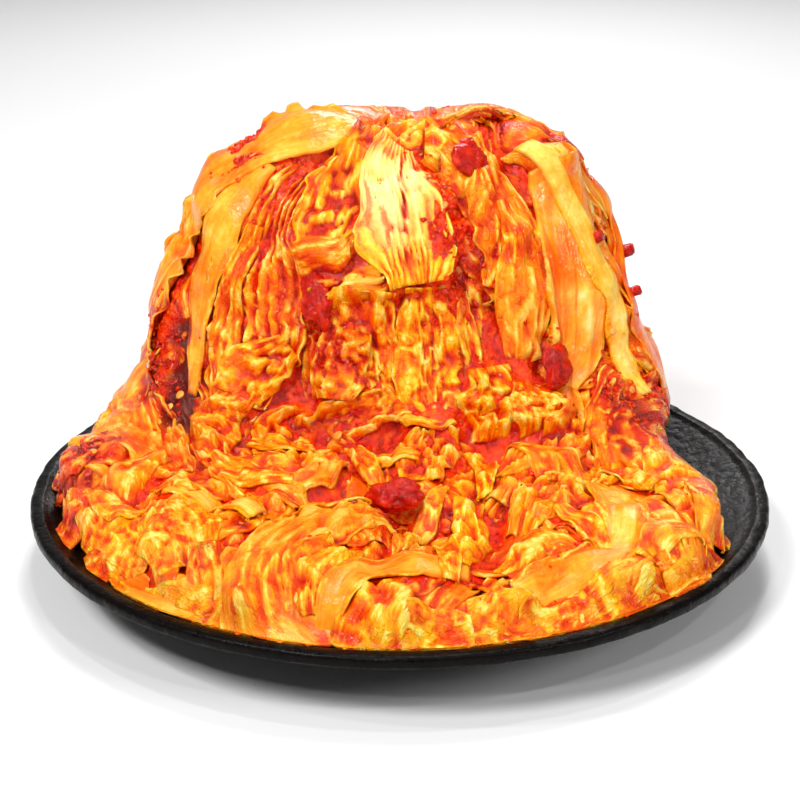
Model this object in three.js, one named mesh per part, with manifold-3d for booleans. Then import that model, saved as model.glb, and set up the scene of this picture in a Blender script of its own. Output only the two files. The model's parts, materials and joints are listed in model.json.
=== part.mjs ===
// Napa cabbage kimchi heaped on a shallow black coupe dish.
// Millimetres, +Z up. The origin is the centre of the dish's flat base, on the table.
// -Y is the front, where the cut leaves spread out to the rim, and the head of kimchi stands towards +Y.
import * as THREE from "three";
import { mergeVertices } from "three/addons/utils/BufferGeometryUtils.js";
import Module from "manifold-3d";

// ---- dish ----
const DISH_D = 254; // over the rim
const DISH_H = 26; // table to the top of the lip
const BASE_R = 60; // flat base
const FLOOR_R = 58; // flat floor inside
const FLOOR_Z = 5.0; // floor above the table
const LIP_W = 5.2; // width of the rounded lip
const LIP_EDGE = 4.6; // height of the rim's outer edge
const COUPE = 1.22; // how much the wall turns up towards the rim
const DISH_SEGMENTS = 72;
const WALL_STEPS = 6; // rings up the wall, inside and out

// ---- heap of kimchi ----
const R = DISH_D / 2; // the heap's sizes below are shares of this radius
const GAP = 0.35; // between the heap and the dish, and round each red pepper piece
const AXIS_Y = 0.45 * R; // the standing head's axis, behind the dish's centre
const HEAP_SIDES = 80;
const PLEATS = 21; // folds of the hanging leaves round the head
const PLEAT_DEEP = 2.6;
const LUMP = 2.6; // height of the folded leaves in the apron
const EDGE_THICK = 0.06 * R; // thickness of the apron where it ends

// The standing head: height above the rim, then its reach from its axis to the left, right, front and back.
const HEAD = [
  { up: 0.135, left: 0.8, right: 0.725, front: 0.51, back: 0.475 },
  { up: 0.22, left: 0.765, right: 0.71, front: 0.43, back: 0.47 },
  { up: 0.34, left: 0.73, right: 0.7, front: 0.38, back: 0.46 },
  { up: 0.475, left: 0.675, right: 0.685, front: 0.335, back: 0.435 },
  { up: 0.61, left: 0.615, right: 0.635, front: 0.285, back: 0.4 },
  { up: 0.74, left: 0.535, right: 0.55, front: 0.225, back: 0.345 },
  { up: 0.84, left: 0.44, right: 0.475, front: 0.165, back: 0.275 },
  { up: 0.905, left: 0.37, right: 0.37, front: 0.115, back: 0.205 },
  { up: 0.935, left: 0.25, right: 0.22, front: 0.07, back: 0.12 },
  { up: 0.94, left: 0.1, right: 0.09, front: 0.03, back: 0.05 },
];

// The apron's outline round the dish's centre: angle in degrees from +X, share of the radius.
const OUTLINE = [
  [-180, 0.945], [-150, 0.935], [-120, 0.94], [-90, 0.945], [-60, 0.94], [-35, 0.945],
  [-24, 0.94], [-12, 0.845], [0, 0.775], [10, 0.76], [20, 0.8], [31, 0.875], [45, 0.9],
  [60, 0.92], [90, 0.93], [120, 0.925], [140, 0.93], [151, 0.94], [165, 0.945], [180, 0.945],
];

// Red pepper pieces as large as berries: azimuth round the head's axis, height over the rim or place on the apron from its edge inwards, size.
const PEPPERS = [
  { name: "red_pepper_piece_1", azimuth: -127, up: 0.42, long: 21, wide: 13, thick: 9, turn: 80 },
  { name: "red_pepper_piece_2", azimuth: -91, out: 0.52, long: 19, wide: 15, thick: 9, turn: 35 },
  { name: "red_pepper_piece_3", azimuth: -36, up: 0.24, long: 18, wide: 13, thick: 9, turn: 100 },
  { name: "red_pepper_piece_4", azimuth: -32, up: 0.82, long: 19, wide: 15, thick: 9, turn: 20 },
];

const wasm = await Module();
wasm.setup();

const smooth = (a, b, x) => {
  const t = Math.min(1, Math.max(0, (x - a) / (b - a)));
  return t * t * (3 - 2 * t);
};

// A smooth curve through values given at rising positions, held at both ends.
function through(xs, ys, x) {
  const n = xs.length;
  if (x <= xs[0]) return ys[0];
  if (x >= xs[n - 1]) return ys[n - 1];
  let i = 0;
  while (x > xs[i + 1]) i++;
  const slope = (k) =>
    k <= 0 || k >= n - 1 ? (k <= 0 ? (ys[1] - ys[0]) / (xs[1] - xs[0]) : (ys[n - 1] - ys[n - 2]) / (xs[n - 1] - xs[n - 2])) : (ys[k + 1] - ys[k - 1]) / (xs[k + 1] - xs[k - 1]);
  const h = xs[i + 1] - xs[i],
    t = (x - xs[i]) / h,
    t2 = t * t,
    t3 = t2 * t;
  return (
    ys[i] * (2 * t3 - 3 * t2 + 1) +
    ys[i + 1] * (3 * t2 - 2 * t3) +
    h * (slope(i) * (t3 - 2 * t2 + t) + slope(i + 1) * (t3 - t2))
  );
}

// Height of the dish's inner face at a distance from its centre.
const innerLipR = R - LIP_W;
function dishInside(r) {
  if (r <= FLOOR_R) return FLOOR_Z;
  const s = Math.min(1, (r - FLOOR_R) / (innerLipR - FLOOR_R));
  return FLOOR_Z + (DISH_H - 1.0 - FLOOR_Z) * Math.pow(s, COUPE);
}

// ---- the dish: one closed profile turned round the axis ----
function dishGeometry() {
  const p = [[0, 0], [BASE_R - 1.2, 0]];
  const underTop = DISH_H - LIP_EDGE;
  for (let i = 1; i <= WALL_STEPS; i++) {
    const s = i / WALL_STEPS;
    p.push([BASE_R + (R - 0.9 - BASE_R) * s, 0.6 + (underTop - 0.6) * Math.pow(s, COUPE)]);
  }
  p.push([R, underTop + 0.9], [R, DISH_H - 1.3], [R - 0.5, DISH_H - 0.4], [R - 1.5, DISH_H]);
  p.push([R - LIP_W + 1.4, DISH_H], [R - LIP_W + 0.4, DISH_H - 0.35]);
  for (let i = WALL_STEPS; i >= 0; i--) {
    const r = FLOOR_R + ((innerLipR - FLOOR_R) * i) / WALL_STEPS;
    p.push([r, dishInside(r)]);
  }
  p.push([0, FLOOR_Z]);
  const g = new THREE.LatheGeometry(
    p.map(([r, z]) => new THREE.Vector2(r, z)),
    DISH_SEGMENTS,
  );
  g.rotateX(Math.PI / 2);
  return g;
}

// ---- the heap: one profile for each azimuth round the head's axis ----

// One ring of the head at a place along HEAD (0 at the foot): its height and its reach in a direction.
// Front, back, left and right differ.
const steps = HEAD.map((_, i) => i);
const side = Object.fromEntries(Object.keys(HEAD[0]).map((k) => [k, HEAD.map((row) => row[k])]));
function ring(az, t) {
  const c = Math.cos(az),
    s = Math.sin(az);
  const a = through(steps, c < 0 ? side.left : side.right, t) * R,
    b = through(steps, s < 0 ? side.front : side.back, t) * R;
  const n = 2.25;
  const reach = Math.pow(Math.pow(Math.abs(c) / a, n) + Math.pow(Math.abs(s) / b, n), -1 / n);
  return { reach, up: through(steps, side.up, t) * R };
}

// Distance from the head's axis to the apron's outline along an azimuth, found by halving.
function apronRadius(az) {
  const angles = OUTLINE.map((o) => o[0]),
    shares = OUTLINE.map((o) => o[1]);
  let lo = 0,
    hi = 2 * R;
  for (let i = 0; i < 40; i++) {
    const m = (lo + hi) / 2,
      x = m * Math.cos(az),
      y = AXIS_Y + m * Math.sin(az);
    const phi = (Math.atan2(y, x) * 180) / Math.PI;
    if (Math.hypot(x, y) < through(angles, shares, phi) * R) lo = m;
    else hi = m;
  }
  return lo;
}

// Folds of the leaves: hanging pleats on the head, lumps on the apron.
function pleat(az, h) {
  const sway = 0.35 * Math.sin(3 * h + 2 * az) + 0.5 * Math.sin(2 * az + 1.3);
  const a = Math.sin(PLEATS * az + 6 * sway),
    b = Math.sin(Math.round(0.43 * PLEATS) * az + 2.1 + 4 * sway);
  return PLEAT_DEEP * (0.55 * a + 0.45 * b) - 0.6;
}
function lump(x, y) {
  const k = (2 * Math.PI) / 34;
  return (
    LUMP *
    (0.5 * Math.sin(k * (x + 0.4 * y) + 1.1) * Math.cos(k * 0.9 * (y - 0.3 * x)) +
      0.5 * Math.sin(k * 1.7 * (y + 0.5 * x) + 0.4) * Math.cos(k * 1.5 * x - 0.8))
  );
}

// Points from the apron's edge to the top of the head, as [distance from the axis, z].
const EDGE = 3,
  APRON = 7,
  FACE = 2 * HEAD.length - 1;
function outside(az) {
  const out = apronRadius(az);
  const foot = ring(az, 0);
  const reach = Math.max(4, out - foot.reach); // length of the apron here
  const spread = smooth(6, 40, reach); // 0 where the head stands at the edge
  const at = (d) => [d * Math.cos(az), AXIS_Y + d * Math.sin(az)];
  const edgeZ = dishInside(Math.hypot(...at(out))) + GAP;
  const edgeTop = edgeZ + EDGE_THICK;
  const footZ = DISH_H + foot.up;
  const points = [
    [out - 0.6, edgeZ + 0.25 * EDGE_THICK],
    [out, edgeZ + 0.6 * EDGE_THICK],
    [out - Math.min(2.5, 0.2 * reach), edgeTop],
  ];
  for (let i = 1; i <= APRON; i++) {
    const s = i / (APRON + 1);
    const d = out - reach * (0.05 + 0.95 * s);
    const [x, y] = at(d);
    const wave = lump(x, y) * smooth(0, 0.25, s) * (0.3 + 0.7 * spread);
    points.push([d, edgeTop + (footZ - edgeTop) * (0.95 * s + 0.05 * s * s) + wave]);
  }
  for (let i = 0; i < FACE; i++) {
    const t = i / 2;
    const { reach: d, up } = ring(az, t);
    const [x, y] = at(d);
    const fold = pleat(az, up / R) * smooth(0.2, 1.5, t) * smooth(8.2, 5.5, t);
    points.push([Math.max(1, Math.min(d, out - 4 + t) + fold), DISH_H + up + 0.6 * lump(x, y) * smooth(6, 8.5, t)]);
  }
  return points;
}

function heapGeometry() {
  const columns = [];
  for (let j = 0; j < HEAP_SIDES; j++) {
    const az = -Math.PI / 2 + (2 * Math.PI * j) / HEAP_SIDES;
    const up = outside(az);
    const out = up[0][0];
    const column = [];
    const UNDER = 5;
    for (let i = 1; i <= UNDER; i++) {
      const d = (out - 0.8) * Math.pow(i / UNDER, 0.9);
      const x = d * Math.cos(az),
        y = AXIS_Y + d * Math.sin(az);
      column.push([x, y, dishInside(Math.hypot(x, y)) + 2.2 * GAP]);
    }
    for (const [d, z] of up) column.push([d * Math.cos(az), AXIS_Y + d * Math.sin(az), z]);
    columns.push(column);
  }
  const rows = columns[0].length;
  const vertices = [[0, AXIS_Y, FLOOR_Z + GAP + 0.2]];
  columns.forEach((c) => c.forEach((v) => vertices.push(v)));
  const top = vertices.length;
  vertices.push([0, AXIS_Y, DISH_H + HEAD[HEAD.length - 1].up * R + 0.3]);
  const index = [];
  const id = (j, i) => 1 + (j % HEAP_SIDES) * rows + i;
  for (let j = 0; j < HEAP_SIDES; j++) {
    index.push(0, id(j + 1, 0), id(j, 0));
    for (let i = 0; i < rows - 1; i++)
      index.push(id(j, i), id(j + 1, i), id(j + 1, i + 1), id(j, i), id(j + 1, i + 1), id(j, i + 1));
    index.push(id(j, rows - 1), id(j + 1, rows - 1), top);
  }
  const g = new THREE.BufferGeometry();
  g.setAttribute("position", new THREE.Float32BufferAttribute(vertices.flat(), 3));
  g.setIndex(index);
  return g;
}

// ---- joining and cutting ----
function solid(geometry) {
  const g = geometry.clone();
  for (const name of Object.keys(g.attributes)) if (name !== "position") g.deleteAttribute(name);
  const m = mergeVertices(g, 1e-4);
  return new wasm.Manifold(
    new wasm.Mesh({
      numProp: 3,
      vertProperties: new Float32Array(m.attributes.position.array),
      triVerts: new Uint32Array(m.index.array),
    }),
  );
}
function geometryOf(manifold) {
  const m = manifold.getMesh();
  const g = new THREE.BufferGeometry();
  g.setAttribute("position", new THREE.Float32BufferAttribute(new Float32Array(m.vertProperties), 3));
  g.setIndex(new THREE.Uint32BufferAttribute(new Uint32Array(m.triVerts), 1));
  g.computeVertexNormals();
  return g;
}

// A red pepper piece: a wet lump with flattened sides and an uneven skin.
function pepperGeometry(size, seed, grow) {
  const g = new THREE.IcosahedronGeometry(1, 2);
  const p = g.attributes.position;
  const v = new THREE.Vector3();
  for (let i = 0; i < p.count; i++) {
    v.fromBufferAttribute(p, i).normalize();
    const bump =
      1 +
      0.1 * Math.sin(4.1 * v.x + 3 * v.y + seed) +
      0.08 * Math.sin(5.3 * v.y - 4 * v.z + 2 * seed) +
      0.06 * Math.sin(7 * v.z + 5 * v.x + 3 * seed);
    p.setXYZ(
      i,
      v.x * (size.long / 2) * bump + v.x * grow,
      v.y * (size.wide / 2) * bump + v.y * grow,
      Math.sign(v.z) * Math.pow(Math.abs(v.z), 0.8) * (size.thick / 2) * bump + v.z * grow,
    );
  }
  return g;
}

const COLOURS = {
  dish: { color: 0x1a1715, roughness: 0.55, metalness: 0.0 },
  kimchi: { color: 0xf28a24, roughness: 0.25, metalness: 0.0 },
  pepper: { color: 0xa81408, roughness: 0.2, metalness: 0.0 },
};

const kimchi = new THREE.Group();
kimchi.name = "kimchi_on_black_dish";

const dish = new THREE.Mesh(dishGeometry(), new THREE.MeshStandardMaterial(COLOURS.dish));
dish.name = "dish";
kimchi.add(dish);

// Where a pepper piece sits: a point on the heap's face and its outward direction.
function seat(piece) {
  const az = (piece.azimuth * Math.PI) / 180;
  const column = outside(az);
  let k;
  if (piece.up !== undefined) {
    const z = DISH_H + piece.up * R;
    k = column.findIndex((c, i) => i >= EDGE + APRON && c[1] >= z);
  } else k = EDGE + Math.round(piece.out * APRON);
  const a = column[k - 1],
    b = column[k + 1],
    here = column[k];
  const along = new THREE.Vector2(b[0] - a[0], b[1] - a[1]).normalize();
  const n = new THREE.Vector3(along.y * Math.cos(az), along.y * Math.sin(az), -along.x).normalize();
  return {
    point: new THREE.Vector3(here[0] * Math.cos(az), AXIS_Y + here[0] * Math.sin(az), here[1]),
    normal: n,
  };
}

let heap = solid(heapGeometry());
PEPPERS.forEach((piece, i) => {
  const { point, normal } = seat(piece);
  const mesh = new THREE.Mesh(pepperGeometry(piece, 1.7 * i + 0.6, 0), new THREE.MeshStandardMaterial(COLOURS.pepper));
  mesh.name = piece.name;
  mesh.position.copy(point).addScaledVector(normal, piece.thick * 0.12);
  const face = new THREE.Quaternion().setFromUnitVectors(new THREE.Vector3(0, 0, 1), normal);
  const turn = new THREE.Quaternion().setFromAxisAngle(new THREE.Vector3(0, 0, 1), (piece.turn * Math.PI) / 180);
  mesh.quaternion.copy(face).multiply(turn);
  mesh.updateMatrixWorld(true);
  kimchi.add(mesh);
  heap = heap.subtract(solid(pepperGeometry(piece, 1.7 * i + 0.6, GAP).applyMatrix4(mesh.matrixWorld)));
});

const heapMesh = new THREE.Mesh(geometryOf(heap), new THREE.MeshStandardMaterial(COLOURS.kimchi));
heapMesh.name = "kimchi_heap";
kimchi.add(heapMesh);

export default kimchi;
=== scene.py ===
# Kimchi on a black dish: the looks.
# The heap's CAD solid gives the outline. Over a smaller sauce-red core, whose dark maroon is painted shade where it
# shows between the leaves, whole and torn cabbage leaves are laid one after another, each on what lies under it, and
# then pepper pieces, flakes, seeds, garlic and juice.
import json
import math

import bpy
import numpy as np
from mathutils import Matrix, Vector
from mathutils.bvhtree import BVHTree

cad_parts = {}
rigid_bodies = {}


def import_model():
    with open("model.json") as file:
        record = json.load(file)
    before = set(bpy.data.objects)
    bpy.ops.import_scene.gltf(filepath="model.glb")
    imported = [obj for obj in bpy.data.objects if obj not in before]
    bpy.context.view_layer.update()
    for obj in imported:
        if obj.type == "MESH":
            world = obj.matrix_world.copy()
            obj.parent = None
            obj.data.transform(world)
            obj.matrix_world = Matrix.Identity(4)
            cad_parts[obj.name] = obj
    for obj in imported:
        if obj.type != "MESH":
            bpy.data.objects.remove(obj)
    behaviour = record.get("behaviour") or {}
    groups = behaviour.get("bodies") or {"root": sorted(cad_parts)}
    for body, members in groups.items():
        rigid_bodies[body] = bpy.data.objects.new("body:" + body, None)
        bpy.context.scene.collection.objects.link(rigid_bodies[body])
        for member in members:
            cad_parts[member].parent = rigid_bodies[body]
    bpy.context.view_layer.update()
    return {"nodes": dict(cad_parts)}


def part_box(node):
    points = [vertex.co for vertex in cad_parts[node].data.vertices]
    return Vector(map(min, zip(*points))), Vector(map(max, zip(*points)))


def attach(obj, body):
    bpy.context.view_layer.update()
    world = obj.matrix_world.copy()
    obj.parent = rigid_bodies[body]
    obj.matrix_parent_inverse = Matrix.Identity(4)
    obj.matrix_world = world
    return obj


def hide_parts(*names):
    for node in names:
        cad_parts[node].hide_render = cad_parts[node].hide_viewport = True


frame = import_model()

nodes = frame["nodes"]

# ------------------------------------------------------------------ sizes from the frame
dish_lo, dish_hi = (np.array(v) * 1000 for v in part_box("dish"))
heap_lo, heap_hi = (np.array(v) * 1000 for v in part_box("kimchi_heap"))
R = (dish_hi[0] - dish_lo[0]) / 2  # the dish's radius, mm; everything below is in mm until a mesh is made
RIM = dish_hi[2]  # height of the rim
AXIS_Y = 0.45 * R  # the standing head's axis
INSET = 11.0  # the core lies this far under the CAD heap's skin


# ------------------------------------------------------------------ noise
def _hash(ix, iy, iz, seed):
    h = (ix * 374761393 + iy * 668265263 + iz * 1440662683 + seed * 1274126177) & 0xFFFFFFFF
    h = ((h ^ (h >> 13)) * 1103515245 + 12345) & 0xFFFFFFFF
    h = ((h ^ (h >> 15)) * 668265263) & 0xFFFFFFFF
    return ((h ^ (h >> 16)) & 0xFFFFF) / float(0xFFFFF)


def vnoise(x, y, z=0.0, seed=0):
    """Smooth value noise, -1 to 1."""
    x, y, z = np.broadcast_arrays(np.asarray(x, float), np.asarray(y, float), np.asarray(z, float))
    ix, iy, iz = (np.floor(v).astype(np.int64) for v in (x, y, z))
    fx, fy, fz = x - ix, y - iy, z - iz
    fx, fy, fz = (f * f * f * (f * (f * 6 - 15) + 10) for f in (fx, fy, fz))
    out = 0.0
    for dx in (0, 1):
        for dy in (0, 1):
            for dz in (0, 1):
                w = (fx if dx else 1 - fx) * (fy if dy else 1 - fy) * (fz if dz else 1 - fz)
                out = out + w * _hash(ix + dx, iy + dy, iz + dz, seed)
    return out * 2 - 1


def fbm(x, y, z=0.0, seed=0, octaves=4, gain=0.5):
    out, a, n = 0.0, 1.0, 0.0
    for k in range(octaves):
        out = out + a * vnoise(np.asarray(x) * 2**k + 13.7 * k, np.asarray(y) * 2**k - 7.1 * k, np.asarray(z) * 2**k, seed + 17 * k)
        n += a
        a *= gain
    return out / n


def worley(x, y, seed=0):
    """Distances to the nearest and second nearest of one random point per cell."""
    x, y = np.broadcast_arrays(np.asarray(x, float), np.asarray(y, float))
    ix, iy = np.floor(x).astype(np.int64), np.floor(y).astype(np.int64)
    f1 = np.full(x.shape, 9.0)
    f2 = np.full(x.shape, 9.0)
    for dx in (-1, 0, 1):
        for dy in (-1, 0, 1):
            cx, cy = ix + dx, iy + dy
            px = cx + 0.15 + 0.7 * _hash(cx, cy, 0, seed)
            py = cy + 0.15 + 0.7 * _hash(cx, cy, 7, seed + 5)
            d = np.hypot(x - px, y - py)
            f2 = np.minimum(np.maximum(f1, d), f2)
            f1 = np.minimum(f1, d)
    return f1, f2


def smooth(a, b, x):
    t = np.clip((np.asarray(x, float) - a) / (b - a), 0, 1)
    return t * t * (3 - 2 * t)


def blur(a, sigma, axis, wrap=False):
    """Gaussian blur along one axis."""
    r = max(1, int(3 * sigma))
    k = np.exp(-0.5 * (np.arange(-r, r + 1) / max(sigma, 1e-3)) ** 2)
    k /= k.sum()
    pad = [(0, 0)] * a.ndim
    pad[axis] = (r, r)
    b = np.pad(a, pad, mode="wrap" if wrap else "edge")
    out = np.zeros_like(a)
    n = a.shape[axis]
    for i, w in enumerate(k):
        sl = [slice(None)] * a.ndim
        sl[axis] = slice(i, i + n)
        out += w * b[tuple(sl)]
    return out


def blur2(a, s0, s1):
    return blur(blur(a, s0, 0), s1, 1)


# ------------------------------------------------------------------ the heap's skin as a map over a disc
# A place on the heap is (a, b) in a disc: its centre is the top of the head, its rim the apron's edge, and its angle
# the direction from the head's axis. t runs from 0 at the edge to 1 at the top.
def heap_profiles():
    me = nodes["kimchi_heap"].data
    co = np.empty(len(me.vertices) * 3)
    me.vertices.foreach_get("co", co)
    co = co.reshape(-1, 3) * 1000
    tree = BVHTree.FromPolygons([tuple(c) for c in co], [tuple(p.vertices) for p in me.polygons])
    NA, NP, NT = 360, 360, 260
    pivot = Vector((0, AXIS_Y, 13.0))
    u = np.linspace(0, 1, NP)
    phi = np.radians(-4 + 94 * u**1.5)
    out = np.zeros((NA, NT, 3))
    for i in range(NA):
        az = 2 * math.pi * i / NA
        c, s = math.cos(az), math.sin(az)
        pts = []
        for f in phi:
            d = Vector((math.cos(f) * c, math.cos(f) * s, math.sin(f)))
            hit = tree.ray_cast(pivot, d)
            if hit[0] is not None:
                pts.append(hit[0])
        p = np.array([tuple(q) for q in pts])
        r = np.hypot(p[:, 0], p[:, 1] - AXIS_Y)
        k = int(np.argmax(r[: NP // 3]))
        p = p[k:]
        seg = np.r_[0, np.cumsum(np.linalg.norm(np.diff(p, axis=0), axis=1))]
        t = np.linspace(0, seg[-1], NT)
        for j in range(3):
            out[i, :, j] = np.interp(t, seg, p[:, j])
    out = blur(blur(out, 2.0, 0, wrap=True), 2.0, 1)
    return out


MCELLS, LIM, EDGE = 441, 1.1, 1.01
prof = heap_profiles()


def sample_wrap(grid, ai, ti):
    """Bilinear look-up in a map of azimuth by t, wrapping in azimuth."""
    na, nt = grid.shape[:2]
    a0 = np.floor(ai).astype(int)
    fa = (ai - a0)[..., None]
    ti = np.clip(ti, 0, nt - 1.0001)
    t0 = np.floor(ti).astype(int)
    ft = (ti - t0)[..., None]
    g = lambda x, y: grid[x % na, y]
    return (g(a0, t0) * (1 - fa) + g(a0 + 1, t0) * fa) * (1 - ft) + (g(a0, t0 + 1) * (1 - fa) + g(a0 + 1, t0 + 1) * fa) * ft


def disc_grid():
    v = np.linspace(-LIM, LIM, MCELLS)
    A, B = np.meshgrid(v, v, indexing="ij")
    rho, az = np.hypot(A, B), np.arctan2(B, A)
    na, nt = prof.shape[:2]
    P = sample_wrap(prof, (az % (2 * np.pi)) / (2 * np.pi) * na, (1 - rho) * (nt - 1))
    over = np.maximum(rho - 1, 0) * 240  # past the edge the map goes on outwards, up the dish's wall
    P = P + over[..., None] * np.stack([np.cos(az), np.sin(az), 0 * az], -1)
    P[..., 2] -= np.minimum(over * 0.3, 2.0)
    P = blur2(P, 1.2, 1.2)
    return P


def gradients(P):
    h = 2 * LIM / (MCELLS - 1)
    Pa, Pb = np.gradient(P, h, axis=0), np.gradient(P, h, axis=1)
    N = np.cross(Pa, Pb)
    N /= np.linalg.norm(N, axis=-1, keepdims=True)
    away = P - np.array([0, AXIS_Y * 0.6, RIM - 10])
    if (N * away).sum(-1).mean() < 0:
        N = -N
    return Pa, Pb, N


skin = disc_grid()
skin = blur2(skin, 4.0, 4.0)
_, _, skin_n = gradients(blur2(skin, 4.0, 4.0))
v = np.linspace(-LIM, LIM, MCELLS)
GA, GB = np.meshgrid(v, v, indexing="ij")
GT = 1 - np.hypot(GA, GB)
behind = (smooth(0.08, 0.3, GB) * smooth(0.04, 0.16, GT))[..., None]
_, _, wide_n = gradients(blur2(skin, 16.0, 16.0))  # behind, one broad wall: a sharp bump set back this far would fold
skin_n = skin_n * (1 - behind) + wide_n * behind
skin_n /= np.linalg.norm(skin_n, axis=-1, keepdims=True)
notch = lambda az, t, r, h: h * np.exp(-((GA - (1 - t) * math.cos(math.radians(az))) ** 2 + (GB - (1 - t) * math.sin(math.radians(az))) ** 2) / (2 * r * r))
NOTCH = notch(-168, 0.93, 0.05, 3.5) + notch(178, 0.82, 0.06, -0.8)  # a dip beside the cut end of the leaf at the left
below = 2.5 * smooth(0.12, 0.3, GT) + 4.6 * smooth(0.70, 0.92, GT) + NOTCH  # the leaves end this far inside the CAD skin
inset = 3.6 + (INSET - 3.6) * smooth(0.03, 0.28, GT) + below
flank = np.abs((np.degrees(np.arctan2(GB, GA)) - 178 + 180) % 360 - 180)
reach = inset - below
inset = inset + 6.5 * smooth(34, 14, flank) * smooth(0.0, 0.07, GT) * smooth(0.33, 0.15, GT)
S = blur2(skin - skin_n * inset[..., None], 3.0, 3.0)
S = S * (1 - behind) + blur2(S, 9.0, 9.0) * behind
SA, SB, SN = gradients(S)
SN = blur2(SN, 3.0, 3.0)
SN /= np.linalg.norm(SN, axis=-1, keepdims=True)
H = np.zeros((MCELLS, MCELLS))  # how high the leaves laid so far stand over the core


def at(grid, p):
    """Bilinear look-up in a map over the disc."""
    x = np.clip((p[..., 0] + LIM) / (2 * LIM) * (MCELLS - 1), 0, MCELLS - 1.001)
    y = np.clip((p[..., 1] + LIM) / (2 * LIM) * (MCELLS - 1), 0, MCELLS - 1.001)
    i, j = np.floor(x).astype(int), np.floor(y).astype(int)
    fx, fy = x - i, y - j
    if grid.ndim == 3:
        fx, fy = fx[..., None], fy[..., None]
    return (grid[i, j] * (1 - fx) + grid[i + 1, j] * fx) * (1 - fy) + (grid[i, j + 1] * (1 - fx) + grid[i + 1, j + 1] * fx) * fy


def disc(az, t):
    """Azimuth in degrees (-90 is the front) and t to a place in the disc."""
    return np.array([(1 - t) * math.cos(math.radians(az)), (1 - t) * math.sin(math.radians(az))])


def step(p, v3, d):
    """Moves places p by d mm along the directions v3 on the skin. Returns the new places and directions."""
    a, b, n = at(SA, p), at(SB, p), at(SN, p)
    v3 = v3 - (v3 * n).sum(-1, keepdims=True) * n
    v3 = v3 / np.maximum(np.linalg.norm(v3, axis=-1, keepdims=True), 1e-9)
    aa, bb, ab = (a * a).sum(-1), (b * b).sum(-1), (a * b).sum(-1)
    ra, rb = (a * v3).sum(-1), (b * v3).sum(-1)
    det = np.maximum(aa * bb - ab * ab, 1e-3)
    q = np.stack([(ra * bb - rb * ab) / det, (rb * aa - ra * ab) / det], -1)
    far = np.maximum(1, np.linalg.norm(q, axis=-1, keepdims=True) * 90)
    return p + q / far * d, v3


# ------------------------------------------------------------------ zones of sauce, shared by every leaf
# azimuth, t, radius in mm, strength
SAUCE = [
    (176, 0.66, 11, 0.9), (-168, 0.66, 10, 0.9), (-60, 0.74, 10, 1.0), (-68, 0.80, 9, 0.9), (-62, 0.66, 10, 1.0),
    (-58, 0.58, 9, 0.8), (-25, 0.19, 12, 1.0), (-14, 0.12, 12, 0.9), (-126, 0.60, 9, 0.9), (-120, 0.56, 8, 0.7),
    (-152, 0.06, 13, 1.0), (-146, 0.03, 12, 0.9), (-168, 0.30, 12, 1.0), (-163, 0.22, 12, 1.0), (-109, 0.44, 9, 0.6),
    (-91, 0.31, 9, 0.9), (-96, 0.93, 7, 0.5), (-60, 0.96, 8, 0.7), (-74, 0.50, 8, 0.6), (-35, 0.40, 10, 0.9),
    (-48, 0.06, 10, 0.5), (-132, 0.22, 9, 0.6), (-70, 0.10, 10, 0.4), (90, 0.6, 14, 0.8), (60, 0.35, 14, 0.8),
    (130, 0.5, 13, 0.8), (20, 0.55, 11, 0.8), (150, 0.25, 13, 0.7), (100, 0.15, 14, 0.8), (45, 0.75, 10, 0.7),
    (5, 0.3, 9, 0.6), (75, 0.85, 8, 0.6),
]
ZP = np.array([at(skin, disc(a, t)) for a, t, _, _ in SAUCE])
ZR = np.array([z[2] for z in SAUCE])
ZS = np.array([z[3] for z in SAUCE])


LIGHT = [(-96, 0.85, 15, 1.2), (-94, 0.79, 9, 0.7), (-25, 0.39, 9, 1.0), (-24, 0.30, 8, 0.8), (-20, 0.55, 7, 0.5)]
LP = np.array([at(skin, disc(a, t)) for a, t, _, _ in LIGHT])
# painted shade: listed hollows (azimuth, t, radius in mm) where the sauce is painted near-black red
SHADE_HOLLOWS = [(-158, 0.36, 8), (-154, 0.31, 9), (-150, 0.27, 8), (-53, 0.69, 5), (-56, 0.62, 5)]
DP = np.array([at(skin, disc(a, t)) for a, t, _ in SHADE_HOLLOWS])


def hollow_shade_at(P):
    """How deep a hollow there is at points P; the sauce there is painted near-black red as painted shade."""
    d = np.zeros(P.shape[:-1])
    for p, (_, _, r) in zip(DP, SHADE_HOLLOWS):
        d = d + np.exp(-(((P - p) ** 2).sum(-1)) / (2 * (0.75 * r) ** 2))
    return np.clip(d, 0, 1)


def sauce_at(P):
    """How much sauce lies at points P (mm): named patches, thin patches everywhere, and thick dark sauce in the listed
    hollows as painted shade.
    """
    q = np.zeros(P.shape[:-1])
    for p, r, s in zip(ZP, ZR, ZS):
        q = np.maximum(q, s * np.exp(-(((P - p) ** 2).sum(-1)) / (2 * (0.62 * r) ** 2)))
    n = fbm(P[..., 0] / 17, P[..., 1] / 17, P[..., 2] / 17, seed=91, octaves=3)
    m = fbm(P[..., 0] / 4.5, P[..., 1] / 4.5, P[..., 2] / 4.5, seed=92, octaves=3)
    q = q * (1.0 + 0.5 * m)
    # painted shade: the listed hollows get thick, dark sauce colour
    for p, (_, _, r) in zip(DP, SHADE_HOLLOWS):
        q = q + 1.3 * np.exp(-(((P - p) ** 2).sum(-1)) / (2 * (0.6 * r) ** 2))
    return q, n, m


# ------------------------------------------------------------------ leaves
LEAVES = {}  # group -> list of grids
PLACES = []  # where each leaf lies in the disc, and its height


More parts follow.
